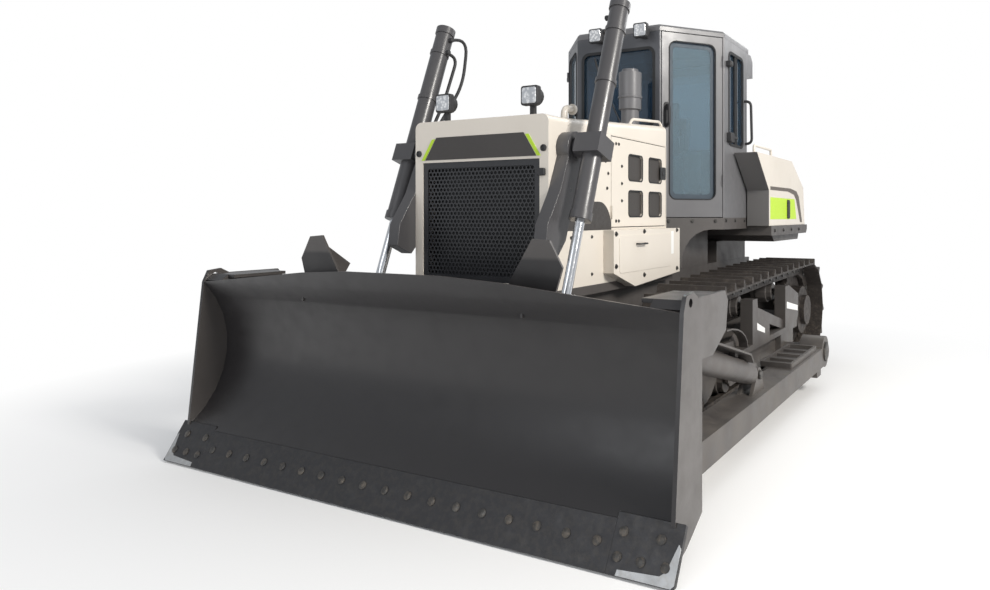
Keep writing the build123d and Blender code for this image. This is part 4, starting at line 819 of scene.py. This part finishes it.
@dataclass
class Hood(Trim):
    """The badge, decals, vents, latches and handles of the hood."""

    badge_outline: Outline = ((-0.428, 1.848), (0.428, 1.848), (0.336, 1.990), (-0.336, 1.990))
    stripe_outline: Outline = ((0.433, 1.848), (0.458, 1.848), (0.372, 1.980), (0.347, 1.980))
    badge_depth: float = 0.003
    cap_profile: Outline = ((0.020, 0.0), (0.020, 0.008), (0.013, 0.012), (0.010, 0.006))
    cap_place: Spot = (0.479, 1.892)
    grille_corner: float = 0.012
    grille_rim: float = 0.075
    grille_rim_corner: float = 0.02
    grille_inset: float = 0.06
    grille_pitch: float = 0.0285
    grille_hole: float = 0.0112
    grille_share: float = 0.55
    latch: Pad = Pad(0.052, 0.044, 0.01, 0.018, 0.004)
    latch_place: Spot = (0.466, 1.752)
    band_front: float = -1.49
    band_rear: float = -1.10
    band_low: float = 1.402
    band_height: float = 0.186
    band_nose: float = 0.16
    vent_places: Outline = ((-0.578, 1.582), (-0.578, 1.839), (-0.249, 1.582), (-0.249, 1.839))
    vent_sheet: Pad = Pad(0.262, 0.225, 0.03, 0.002)
    vent_sheet_sunk: float = -0.0145
    vent_seal: Band = Band((0.232, 0.195, 0.03), (0.214, 0.177, 0.026), 0.003)
    vent_latch: Pad = Pad(0.100, 0.096, 0.012, 0.005)
    vent_latch_place: Spot = (-0.110, 1.826)
    vent_grip: Outline = ((0.022, 0.0), (0.022, 0.003), (0.016, 0.006), (0.016, 0.007))
    seam_bolt: float = 0.015
    vent_bolts: Outline = ((-0.875, 1.99), (-0.875, 1.46), (-0.835, 1.99), (-0.835, 1.46), (-0.79, 1.60),
                           (-0.79, 1.72), (-0.79, 1.84))
    side_bolts: Outline = ((-1.0, 1.68), (-0.985, 1.78), (-1.02, 1.86), (-1.20, 1.36), (-1.45, 1.36),
                           (-1.20, 1.12), (-1.45, 1.12))
    box_panel: Pad = Pad(0.84, 0.25, 0.02, 0.004, 0.003)
    box_panel_place: Spot = (-0.555, 1.235)
    box_strip: Pad = Pad(0.048, 0.175, 0.004, 0.001)
    box_strip_place: Spot = (-0.105, 1.29)
    box_grip: Line = ((0.596, -0.73, 1.30), (0.624, -0.73, 1.30), (0.624, -0.60, 1.30), (0.596, -0.60, 1.30))
    box_bolts: Outline = ((-1.02, 1.375), (-1.02, 1.16), (-0.60, 1.385), (-0.02, 1.385), (-0.02, 1.085),
                          (-0.60, 1.075))
    handle_line: Line = ((0.47, -0.60, 2.150), (0.47, -0.55, 2.200), (0.47, -0.08, 2.236),
                         (0.47, -0.04, 2.195))
    elbow_line: Line = ((0.45, -1.43, 2.08), (0.45, -1.43, 2.165), (0.45, -1.33, 2.165))
    elbow_flange: Outline = ((0.034, 0.0), (0.034, 0.016), (0.030, 0.020))
    elbow_flange_place: Point = (0.45, -1.345, 2.165)

    def badge(self) -> None:
        """A blank dark badge with a slanting green stripe at each end, and a cap on each side of it."""
        self.add("hood_badge", plate(self.badge_outline, self.badge_depth).on(HOOD_FRONT), Finish.DARK_FILM)
        stripe = plate(self.stripe_outline, self.badge_depth).on(HOOD_FRONT)
        self.add("hood_badge_stripes", stripe.both(), Finish.GREEN_FILM)
        cap = drum(self.cap_profile).on(HOOD_FRONT.moved(*self.cap_place))
        self.add("hood_front_caps", cap.both(), Finish.BLACK)

    def grille_trim(self) -> None:
        """The fine grille with its frame, and its latch."""
        low, high = (np.array(corner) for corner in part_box("grille"))
        width, depth, height = high - low
        place = Plane((0.0, float(high[1]), float(low[2] + high[2]) / 2))
        inner = rounded(width - self.grille_rim, height - self.grille_rim, self.grille_rim_corner)
        frame = frame_ring(rounded(width, height, self.grille_corner), inner, depth)
        mesh = honeycomb(width - self.grille_inset, height - self.grille_inset, self.grille_pitch,
                         self.grille_hole, depth * self.grille_share)
        form = Form.join([frame, mesh]).on(place)
        grille = self.add("fine_grille", form, Finish.GRILLE_BLACK, smooth=False)
        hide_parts("grille")
        self.add("grille_latch", self.latch.form().on(HOOD_FRONT.moved(*self.latch_place)), Finish.BLACK)

    def side_decals(self) -> None:
        """A blank dark band along each hood side, whose rear end is a quarter of an ellipse."""
        t = np.linspace(0.0, math.pi / 2, 10)
        along = self.band_rear + self.band_nose * np.cos(t)
        nose = np.stack([along, self.band_low + self.band_height * np.sin(t)], -1)
        start = np.array([(self.band_front, self.band_low)])
        band = np.vstack([start, nose, start + (0.0, self.band_height)])
        self.add("side_bands", plate(band, FILM).on(HOOD_SIDE).both(), Finish.DARK_FILM)

    def vents(self) -> None:
        """The perforated sheets behind the vents, their seals and the vent doors' latches."""
        behind = [HOOD_SIDE.moved(a, b, self.vent_sheet_sunk) for a, b in self.vent_places]
        self.add_pair("vent_sheets", copies(self.vent_sheet.form(), behind), Finish.MESH, VENTS)
        seals = copies(self.vent_seal.form(), [HOOD_SIDE.moved(*place) for place in self.vent_places])
        self.add_pair("vent_seals", seals, Finish.RUBBER, VENTS)
        place = HOOD_SIDE.moved(*self.vent_latch_place)
        grip = drum(self.vent_grip).on(place.moved(0.0, 0.0, self.vent_latch.depth))
        self.add_pair("vent_latch", Form.join([self.vent_latch.form().on(place), grip]), Finish.BLACK, VENTS)

    def seam_bolts(self) -> None:
        """The small bolts along the seams of the hood's sides and vent doors."""
        on_sides = bolts(self.seam_bolt, HOOD_SIDE, self.side_bolts)
        self.add("side_bolts", on_sides.both(), Finish.BOLT_STEEL, smooth=False)
        on_doors = bolts(self.seam_bolt, HOOD_SIDE, self.vent_bolts)
        self.add_pair("vent_bolts", on_doors, Finish.BOLT_STEEL, VENTS, smooth=False)

    def box_trim(self) -> None:
        """The raised panel, handle, strip and bolts of each tool box."""
        panel = self.box_panel.form().on(BOX_SIDE.moved(*self.box_panel_place))
        self.add("tool_box_panels", panel.both(), Finish.CREAM)
        strip = self.box_strip.form().on(BOX_SIDE.moved(*self.box_strip_place))
        self.add("tool_box_strips", strip.both(), Finish.WHITE_FILM)
        grip = bar(bent_path(self.box_grip, 0.014), 0.006, (0.0, 0.0, 1.0))
        self.add("tool_box_handles", grip.both(), Finish.BLACK)
        heads = bolts(0.022, BOX_SIDE, self.box_bolts)
        self.add("tool_box_bolts", heads.both(), Finish.BOLT_STEEL, smooth=False)

    def handles(self) -> None:
        """The elbow and the grab handles on top of the hood."""
        elbow = bar(bent_path(self.elbow_line, 0.05), 0.022, ACROSS)
        flange = drum(self.elbow_flange, 20).on(Plane(self.elbow_flange_place, ACROSS, (0.0, 0.0, -1.0)))
        self.add("hood_elbow", Form.join([elbow, flange]), Finish.CREAM)
        self.add("hood_handles", bar(bent_path(self.handle_line, 0.03), 0.011, ACROSS).both(), Finish.CREAM)

    def build(self) -> None:
        """Add everything on the hood."""
        self.badge()
        self.grille_trim()
        self.side_decals()
        self.vents()
        self.seam_bolts()
        self.box_trim()
        self.handles()


@dataclass
class Cab(Trim):
    """The seals, handles, catches, wiper and lamps of the cab."""

    door_middle: Spot = (0.3035, 2.285)
    door_edge: Band = Band((0.4265, 1.296, 0.06), (0.350, 1.215, 0.035), 0.001, 8)
    door_edge_sunk: float = -0.0195
    door_seal: Band = Band((0.440, 1.310, 0.066), (0.424, 1.294, 0.059), 0.006, 8)
    handle_place: Spot = (0.062, 2.325)
    handle_pad: Pad = Pad(0.05, 0.21, 0.024, 0.008, 0.003)
    handle_line: Line = ((0.0, 0.075, 0.010), (0.0, 0.075, 0.05), (0.0, -0.085, 0.05), (0.0, -0.085, 0.010))
    button: Outline = ((0.016, 0.0), (0.016, 0.018), (0.010, 0.022))
    button_rise: float = 0.055
    windscreen_seal: Band = Band((0.700, 0.670, 0.068), (0.652, 0.622, 0.05), 0.004, 8)
    windscreen_middle: Point = (0.0, 0.095, 2.555)
    side_seal: Band = Band((0.405, 0.825, 0.066), (0.355, 0.775, 0.045), 0.004, 8)
    side_middle: Spot = (0.865, 2.515)
    sash: Pad = Pad(0.020, 0.790, 0.004, 0.012, 0.003)
    sash_places: Spot = (0.845, 0.885)
    rear_seal: Band = Band((1.400, 0.830, 0.068), (1.350, 0.780, 0.05), 0.004, 8)
    rear_middle: Point = (0.0, 1.175, 2.515)
    loop_line: Line = ((0.775, 1.10, 2.545), (0.842, 1.10, 2.545), (0.842, 1.13, 2.16), (0.775, 1.13, 2.16))
    loop_radius: float = 0.0125
    catch_box: Pad = Pad(0.085, 0.085, 0.012, 0.045, 0.006)
    catch_arm: Pad = Pad(0.13, 0.02, 0.006, 0.012, 0.003)
    lamp_arm: Pad = Pad(0.06, 0.05, 0.012, 0.05, 0.01)
    wiper_arm: Line = ((0.05, 0.086, 2.24), (-0.05, 0.086, 2.44), (-0.16, 0.086, 2.66))
    wiper_blade: Line = ((-0.10, 0.090, 2.46), (-0.22, 0.090, 2.84))
    front_lamps: Line = ((-0.335, -1.630, 2.218), (0.335, -1.630, 2.218), (0.268, -0.015, 2.999),
                         (-0.150, -0.015, 2.999))
    rear_lamps: Line = ((-0.54, 1.670, 2.974), (0.54, 1.670, 2.974))
    round_lens: Outline = ((0.047, 0.0), (0.046, 0.004), (0.036, 0.009), (0.018, 0.012), (0.003, 0.013))
    housing: Pad = Pad(0.124, 0.118, 0.016, 0.036, 0.004)
    housing_sunk: float = -0.026
    pane: Pad = Pad(0.102, 0.096, 0.012, 0.005, 0.003)

    def door_trim(self) -> None:
        """The dark printed edge, seal and handle of each door."""
        centre = DOOR_FACE.moved(*self.door_middle)
        edge = self.door_edge.form().on(centre.moved(0.0, 0.0, self.door_edge_sunk))
        self.add_pair("door_glass_edge", edge, Finish.GLASS_EDGE, DOORS)
        self.add_pair("door_seal", self.door_seal.form().on(centre), Finish.RUBBER, DOORS)
        grip = bar(bent_path(self.handle_line, 0.035), 0.013, ACROSS)
        button = drum(self.button, 16).on(Plane((0.0, self.button_rise, 0.0), ACROSS, LENGTHWISE))
        handle = Form.join([grip, button, self.handle_pad.form()]).on(DOOR_FACE.moved(*self.handle_place))
        self.add_pair("door_handle", handle, Finish.BLACK, DOORS)

    def window_trim(self) -> None:
        """The seals of the fixed windows and the bars of the sliding side windows."""
        front = self.windscreen_seal.form().on(Plane(self.windscreen_middle))
        self.add("windscreen_seal", front, Finish.RUBBER)
        height = self.side_middle[1]
        bars = [self.sash.form().on(CAB_SIDE.moved(a, height, -self.sash.depth)) for a in self.sash_places]
        sides = Form.join([self.side_seal.form().on(CAB_SIDE.moved(*self.side_middle))] + bars)
        self.add("side_window_frames", sides.both(), Finish.RUBBER)
        rear = self.rear_seal.form().on(Plane(self.rear_middle, (-1.0, 0.0, 0.0)))
        self.add("rear_window_seal", rear, Finish.RUBBER)

    def outside(self) -> None:
        """The grab loops, door catches and wiper."""
        loop = bar(bent_path(self.loop_line, 0.05), self.loop_radius, (0.0, 1.0, 0.08))
        self.add("grab_loops", loop.both(), Finish.BLACK)
        pads = [self.catch_box.form().on(CAB_SIDE.moved(0.66, 2.17)),
                self.catch_arm.form().on(CAB_SIDE.moved(0.77, 2.18, 0.02)),
                self.lamp_arm.form().on(CAB_SIDE.moved(0.63, 2.80))]
        self.add("door_catches", Form.join(pads).both(), Finish.BLACK)
        arm = bar(np.array(self.wiper_arm), 0.006, LENGTHWISE)
        blade = bar(np.array(self.wiper_blade), 0.007, LENGTHWISE)
        self.add("wiper", Form.join([arm, blade]), Finish.BLACK)

    def lamps(self) -> None:
        """The square lamps in front, and a domed lens in each round lamp behind."""
        rear = [Plane(place, (-1.0, 0.0, 0.0)) for place in self.rear_lamps]
        self.add("lamp_lenses", copies(drum(self.round_lens), rear), Finish.LENS)
        self.add("lamp_rims", copies(frame_ring(circle(0.056), circle(0.046), 0.006), rear), Finish.BLACK)
        front = [Plane(place) for place in self.front_lamps]
        backs = [place.moved(0.0, 0.0, self.housing_sunk) for place in front]
        self.add("lamp_housings", copies(self.housing.form(), backs), Finish.BLACK)
        faces = [place.moved(0.0, 0.0, self.housing_sunk + self.housing.depth) for place in front]
        self.add("lamp_panes", copies(self.pane.form(), faces), Finish.LENS)

    def build(self) -> None:
        """Add everything on the cab."""
        self.door_trim()
        self.window_trim()
        self.outside()
        self.lamps()


@dataclass
class Tank(Trim):
    """The patches, latches and rails of the tank, and the bolts of its deck and of the platform."""

    patch: Outline = ((1.185, 1.465), (2.135, 1.465), (2.06, 1.668), (1.185, 1.668))
    arch: Outline = ((1.185, 1.735), (1.80, 1.738), (2.04, 1.712), (2.13, 1.66), (2.30, 1.43), (2.385, 1.43),
                     (2.24, 1.70), (2.14, 1.752), (1.90, 1.772), (1.185, 1.768))
    latch: Pad = Pad(0.075, 0.185, 0.02, 0.014, 0.004)
    latch_place: Spot = (1.80, 1.562)
    rail: Line = ((0.965, 0.80, 2.045), (0.965, 0.80, 2.112), (0.965, 1.32, 2.112), (0.965, 1.32, 2.045))
    cap: Outline = ((0.075, 0.0), (0.075, 0.018), (0.062, 0.026), (0.062, 0.050), (0.055, 0.056))
    cap_place: Point = (0.35, 1.62, 2.050)
    deck_out: float = 0.010
    deck_bolts: Outline = ((1.30, 1.36), (1.60, 1.36), (1.90, 1.36), (2.20, 1.36))
    side_bolts: Outline = ((0.60, 1.455), (0.84, 1.455), (1.10, 1.455))
    corner_bolts: Outline = ((0.08, 1.452), (0.30, 1.452), (0.52, 1.452))

    def build(self) -> None:
        """Add everything on the tank."""
        self.add("tank_patches", plate(self.patch, FILM).on(TANK_SIDE).both(), Finish.GREEN_FILM)
        self.add("tank_arches", plate(self.arch, FILM).on(TANK_SIDE).both(), Finish.BROWN_FILM)
        latch = self.latch.form().on(TANK_SIDE.moved(*self.latch_place, FILM))
        self.add("tank_latches", latch.both(), Finish.BLACK)
        self.add("tank_rails", bar(bent_path(self.rail, 0.03), 0.012, ACROSS).both(), Finish.CREAM)
        self.add("filler_cap", drum(self.cap).on(Plane(self.cap_place, ACROSS, LENGTHWISE)), Finish.BLACK)
        deck = bolts(0.024, TANK_SIDE.moved(0.0, 0.0, self.deck_out), self.deck_bolts)
        self.add("deck_bolts", deck.both(), Finish.BOLT_STEEL, smooth=False)
        low = Form.join([bolts(0.022, CAB_SIDE, self.side_bolts), bolts(0.022, DOOR_FACE, self.corner_bolts)])
        self.add("platform_bolts", low.both(), Finish.BOLT_STEEL, smooth=False)


@dataclass
class BladeTrim(Trim):
    """The bolts, worn corners, pins, weld lines and tread plates of the blade and its arms."""

    row_half: float = 1.31
    row_count: int = 18
    row_height: float = 0.118
    end_bolts: Outline = ((1.425, 0.175), (1.60, 0.175), (1.42, 0.075), (1.53, 0.075), (1.64, 0.075))
    plough: Outline = ((0.021, 0.0), (0.021, 0.004), (0.014, 0.007))
    corner: Outline = ((1.692, 0.020), (1.692, 0.155), (1.680, 0.172), (1.647, 0.060), (1.622, 0.040),
                       (1.432, 0.028), (1.428, 0.004), (1.678, 0.004))
    corner_depth: float = 0.0012
    pin: Outline = ((0.030, 0.0), (0.030, 0.012), (0.024, 0.018))
    pin_places: Line = ((1.4523, -0.64, 0.455), (1.4523, -2.09, 0.86), (0.7710, -2.017, 0.506))
    boss: Outline = ((0.085, 0.0), (0.085, 0.012), (0.070, 0.018))
    boss_place: Point = (1.5, 1.175, 0.3)
    weld: Line = ((1.497, -2.10, 0.341), (1.497, 1.02, 0.341))
    weld_radius: float = 0.0035
    tread_place: Point = (1.350, 0.530, 0.3452)
    tread_rim: Band = Band((0.250, 0.820, 0.015), (0.205, 0.775, 0.010), 0.040)
    tread_slat: Pad = Pad(0.215, 0.022, 0.004, 0.032)
    tread_slats: Point = (-0.2, 0.0, 0.2)
    tread_sheet: Pad = Pad(0.210, 0.780, 0.010, 0.012)

    def edge(self) -> None:
        """The bolts along the cutting edge and the bright, worn corners."""
        row = [(a, self.row_height) for a in np.linspace(-self.row_half, self.row_half, self.row_count)]
        head = drum(self.plough, 20)
        middle = copies(head, [BLADE_EDGE.moved(*spot) for spot in row])
        ends = copies(head, [BLADE_EDGE.moved(*spot) for spot in self.end_bolts])
        self.add("edge_bolts", Form.join([middle, ends.both()]), Finish.BOLT_STEEL, Body.BLADE)
        corner = plate(self.corner, self.corner_depth).on(BLADE_EDGE)
        self.add("worn_corners", corner.both(), Finish.BRIGHT_EDGE, Body.BLADE)

    def arms(self) -> None:
        """The pins and bosses of the arms, struts and rods, and the arms' weld lines."""
        pins = copies(drum(self.pin), [Plane(place, LENGTHWISE) for place in self.pin_places])
        boss = drum(self.boss).on(Plane(self.boss_place, LENGTHWISE))
        self.add("arm_pins", Form.join([pins, boss]).both(), Finish.BOLT_STEEL, Body.BLADE)
        weld = bar(np.array(self.weld), self.weld_radius, ACROSS, 8)
        self.add("arm_welds", weld.both(), Finish.FRAME_GREY, Body.BLADE)

    def tread(self) -> None:
        """The tread plates on top of the arms, open frames over a perforated sheet."""
        top = Plane(self.tread_place, ACROSS, LENGTHWISE)
        slats = copies(self.tread_slat.form(), [top.moved(0.0, b) for b in self.tread_slats])
        rims = Form.join([self.tread_rim.form().on(top), slats])
        self.add("arm_tread_rims", rims.both(), Finish.FRAME_GREY, Body.BLADE)
        sheet = self.tread_sheet.form().on(top)
        self.add("arm_tread_sheets", sheet.both(), Finish.MESH, Body.BLADE, "track_steel")

    def build(self) -> None:
        """Add everything that moves with the blade."""
        self.edge()
        self.arms()
        self.tread()


@dataclass
class FrameTrim(Trim):
    """The blank pale plates on the brackets of the carrier rollers."""

    face: Plane = Plane((1.1652, 0.0, 0.0), LENGTHWISE)
    front_plate: Outline = ((0.245, 0.600), (0.455, 0.545), (0.455, 0.585), (0.245, 0.655))
    rear_plate: Outline = ((1.14, 0.665), (1.53, 0.600), (1.53, 0.650), (1.14, 0.725))

    def build(self) -> None:
        """Add the plates."""
        plates = [plate(outline, FILM).on(self.face) for outline in (self.front_plate, self.rear_plate)]
        self.add("bracket_plates", Form.join(plates).both(), Finish.WHITE_FILM)


@dataclass
class TrackTrim(Trim):
    """The pins and shoe bolts of both chains.

    The chain's pins stand 203 mm apart along a line that wraps the idler and the sprocket and
    rises a little between them.
    """

    pitch: float = 0.203
    shoes: int = 38
    middle: float = 0.940
    sprocket: Point = (2.036, 0.545, 0.404)
    idler: Point = (-0.5816, 0.506, 0.385)
    ground: float = 0.121
    rise: float = 0.020
    rise_from: float = 0.9
    crown: float = 0.010
    pin_profile: Outline = ((0.022, -0.108), (0.026, -0.100), (0.026, -0.052), (0.028, -0.050),
                            (0.028, 0.050), (0.026, 0.052), (0.026, 0.100), (0.022, 0.108))
    shoe_bolt: float = 0.024
    shoe_bolts: Outline = ((-0.075, -0.055), (-0.075, 0.005), (0.075, -0.055), (0.075, 0.005))
    shoe_top: float = 0.069

    def pins(self) -> np.ndarray:
        """The pins' places (y, z), found along the line by its length."""
        (sy, sz, sr), (iy, iz, ir) = self.sprocket, self.idler
        span = sy - iy
        bottom = math.hypot(span, self.rise)
        top = self.pitch * self.shoes - bottom - math.pi * (sr + ir)
        s = np.arange(self.shoes) * self.pitch
        t = s / bottom
        lift = self.rise * np.clip((t - self.rise_from) / (1.0 - self.rise_from), 0.0, 1.0)
        ground = np.stack([iy + span * t, self.ground + lift], -1)
        a = (s - bottom) / sr - math.pi / 2
        rear = np.stack([sy + sr * np.cos(a), sz + sr * np.sin(a)], -1)
        t = (s - bottom - math.pi * sr) / top
        start, end = sz + sr, iz + ir
        upper = np.stack([sy - span * t, start + (end - start) * t + self.crown * np.sin(math.pi * t)], -1)
        a = (s - bottom - math.pi * sr - top) / ir + math.pi / 2
        front = np.stack([iy + ir * np.cos(a), iz + ir * np.sin(a)], -1)
        bounds = np.cumsum([bottom, math.pi * sr, top])
        zone = np.searchsorted(bounds, s, side="right")
        return np.choose(zone[:, None], [ground, rear, upper, front])

    def build(self) -> None:
        """Add the pins with their bushings, and four bolts on each shoe."""
        places = self.pins()
        planes = [Plane((self.middle, y, z), LENGTHWISE) for y, z in places]
        self.add("chain_pins", copies(drum(self.pin_profile, 14), planes).both(), Finish.BOLT_STEEL)
        ahead = np.roll(places, -1, axis=0)
        way = (ahead - places) / np.linalg.norm(ahead - places, axis=1, keepdims=True)
        shoes = [Plane((self.middle, y, z), (-1.0, 0.0, 0.0), (0.0, ay, az)).moved(0.0, 0.0, self.shoe_top)
                 for (y, z), (ay, az) in zip((places + ahead) / 2, way)]
        on_shoes = Form.join([bolts(self.shoe_bolt, shoe, self.shoe_bolts) for shoe in shoes])
        self.add("shoe_bolts", on_shoes.both(), Finish.BOLT_STEEL, smooth=False)


@dataclass(frozen=True)
class OilLine:
    """An oil line beside a barrel: how far inwards it runs, its corners and how far from them it bends."""

    inwards: float
    corners: Outline
    bend: float


@dataclass
class CylinderTrim(Trim):
    """The bands, gland rings and oil lines of the lift cylinders' barrels."""

    yoke: Point = (0.713, -1.52, 1.90)
    lean: float = math.atan2(0.497, 1.394)
    barrel: float = 0.0601
    band: float = 0.0665
    band_depth: float = 0.028
    band_places: Spot = (0.42, 0.78)
    gland: float = 0.067
    gland_depth: float = 0.05
    gland_places: Spot = (-0.458, 0.945)
    sides: int = 28
    line_radius: float = 0.0115
    lines: tuple[OilLine, OilLine] = (
        OilLine(0.075, ((0.90, 0.0), (1.0, 0.15), (0.66, 0.215), (0.36, 0.12), (0.16, 0.055)), 0.13),
        OilLine(0.052, ((0.80, 0.0), (0.83, 0.12), (0.48, 0.105), (0.16, 0.050)), 0.08))
    port: Outline = ((0.018, 0.0), (0.018, 0.030), (0.013, 0.034))
    port_inwards: float = 0.057

    def beside(self, inwards: float, along: float, behind: float) -> Point:
        """A point beside the barrel: so far inwards of its line, along it and behind it."""
        x, y, z = self.yoke
        sine, cosine = math.sin(self.lean), math.cos(self.lean)
        return (x - inwards, y + sine * along + cosine * behind, z + cosine * along - sine * behind)

    def rings(self, radius: float, depth: float, places: Spot) -> Form:
        """Rings round the barrel, so far along its line."""
        ring = frame_ring(circle(radius, self.sides), circle(self.barrel, self.sides), depth)
        across = Plane(self.yoke, ACROSS, (0.0, math.cos(self.lean), -math.sin(self.lean)))
        return copies(ring, [across.moved(0.0, 0.0, along) for along in places])

    def build(self) -> None:
        """Add the rings and the oil lines with their ports."""
        rings_on = Form.join([self.rings(self.band, self.band_depth, self.band_places),
                              self.rings(self.gland, self.gland_depth, self.gland_places)])
        self.add_pair("barrel_bands", rings_on, Finish.CYLINDER_GREY, BARRELS)
        forms = [bar(bent_path([self.beside(line.inwards, *corner) for corner in line.corners], line.bend),
                     self.line_radius, ACROSS) for line in self.lines]
        seats = [Plane(self.beside(self.port_inwards, *line.corners[0]), (0.0, 0.0, 1.0), LENGTHWISE)
                 for line in self.lines]
        ports = copies(drum(self.port, 6), seats)
        self.add_pair("oil_lines", Form.join(forms + [ports]), Finish.BLACK, BARRELS)


@dataclass
class Studio:
    """The camera, the lights and the floor."""

    place: Point = (2.822, -5.125, 1.492)
    heading: float = math.radians(26.336)
    lens: float = 25.672
    sensor: float = 36.0
    shift: Spot = (-0.14945, -0.07944)
    far: float = 200.0
    floor_radius: float = 40.0
    floor_fade: Spot = (2.6, 5.2)
    floor_grey: float = 0.93
    sky: float = 0.50
    sky_tone: Colour = (0.93, 0.96, 1.0)

    def camera(self) -> None:
        """Place the camera level, at the photograph's viewing angle."""
        data = bpy.data.cameras.new("camera")
        data.lens = self.lens
        data.sensor_width = self.sensor
        data.shift_x, data.shift_y = self.shift
        data.clip_end = self.far
        camera = bpy.data.objects.new("camera", data)
        camera.location = self.place
        camera.rotation_euler = (math.pi / 2, 0.0, self.heading)
        bpy.context.scene.collection.objects.link(camera)
        bpy.context.scene.camera = camera

    def lamp(self, name: str, place: Point, target: Point, size: float, power: float, tone: Colour) -> None:
        """Add one large soft lamp.

        Args:
            name: the lamp's name.
            place: where it hangs.
            target: the point that it shines at.
            size: its width.
            power: its power in watts.
            tone: its colour.
        """
        data = bpy.data.lights.new(name, "AREA")
        data.size = size
        data.energy = power
        data.color = tone
        lamp = bpy.data.objects.new(name, data)
        away = np.array(place) - np.array(target)
        flat = math.hypot(away[0], away[1])
        lamp.location = place
        lamp.rotation_euler = (math.atan2(flat, away[2]), 0.0, math.atan2(away[1], away[0]) + math.pi / 2)
        bpy.context.scene.collection.objects.link(lamp)

    def world(self) -> None:
        """A white background, and a pale even sky for the light."""
        world = bpy.data.worlds.new("sky")
        bpy.context.scene.world = world
        world.use_nodes = True
        tree = world.node_tree
        tree.nodes.clear()
        light = add_node(tree, "Background", Color=(*self.sky_tone, 1.0), Strength=self.sky)
        white = add_node(tree, "Background", Color=(1.0, 1.0, 1.0, 1.0), Strength=1.0)
        mix = add_node(tree, "MixShader", Fac=add_node(tree, "LightPath").outputs["Is Camera Ray"])
        tree.links.new(light.outputs["Background"], mix.inputs[1])
        tree.links.new(white.outputs["Background"], mix.inputs[2])
        add_node(tree, "OutputWorld", Surface=mix.outputs["Shader"])

    def floor(self) -> None:
        """A pale floor that fades to the white of the background away from the machine."""
        bpy.ops.mesh.primitive_circle_add(vertices=96, radius=self.floor_radius, fill_type="NGON")
        floor = bpy.context.object
        floor.name = "floor"
        material = bpy.data.materials.new("pale floor")
        material.use_nodes = True
        tree = material.node_tree
        tree.nodes.clear()
        start, end = self.floor_fade
        length = tree.nodes.new("ShaderNodeVectorMath")
        length.operation = "LENGTH"
        tree.links.new(add_node(tree, "TexCoord").outputs["Object"], length.inputs[0])
        fade = add_node(tree, "MapRange", From_Min=start, From_Max=end, Value=length.outputs["Value"])
        mix = add_node(tree, "MixShader", Fac=fade.outputs["Result"])
        grey = self.floor_grey
        near = add_node(tree, "BsdfDiffuse", Color=(grey, grey, grey, 1.0))
        tree.links.new(near.outputs["BSDF"], mix.inputs[1])
        tree.links.new(add_node(tree, "Emission").outputs["Emission"], mix.inputs[2])
        add_node(tree, "OutputMaterial", Surface=mix.outputs["Shader"])
        floor.data.materials.append(material)

    def build(self) -> None:
        """Set up the whole studio."""
        self.camera()
        self.world()
        self.floor()
        self.lamp("key", (8.5, -2.6, 6.0), (0.3, -0.8, 0.9), 2.0, 840.0, (1.0, 0.965, 0.91))
        self.lamp("front fill", (-1.0, -10.0, 4.0), (0.0, -1.0, 1.0), 5.0, 130.0, (0.95, 0.97, 1.0))
        self.lamp("back", (2.0, 8.0, 7.0), (0.0, 0.5, 1.5), 5.0, 200.0, (1.0, 1.0, 1.0))
        bpy.context.scene.view_settings.view_transform = "Standard"
        LOG.info("built the studio")


def main() -> None:
    """Build the looks, from the finishes to the studio."""
    logging.basicConfig(level=logging.INFO)
    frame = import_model()
    Machine(frame).dress()
    for part in (Hood, Cab, Tank, BladeTrim, FrameTrim, TrackTrim, CylinderTrim):
        part().build()
    Studio().build()


if __name__ == "__main__":
    main()
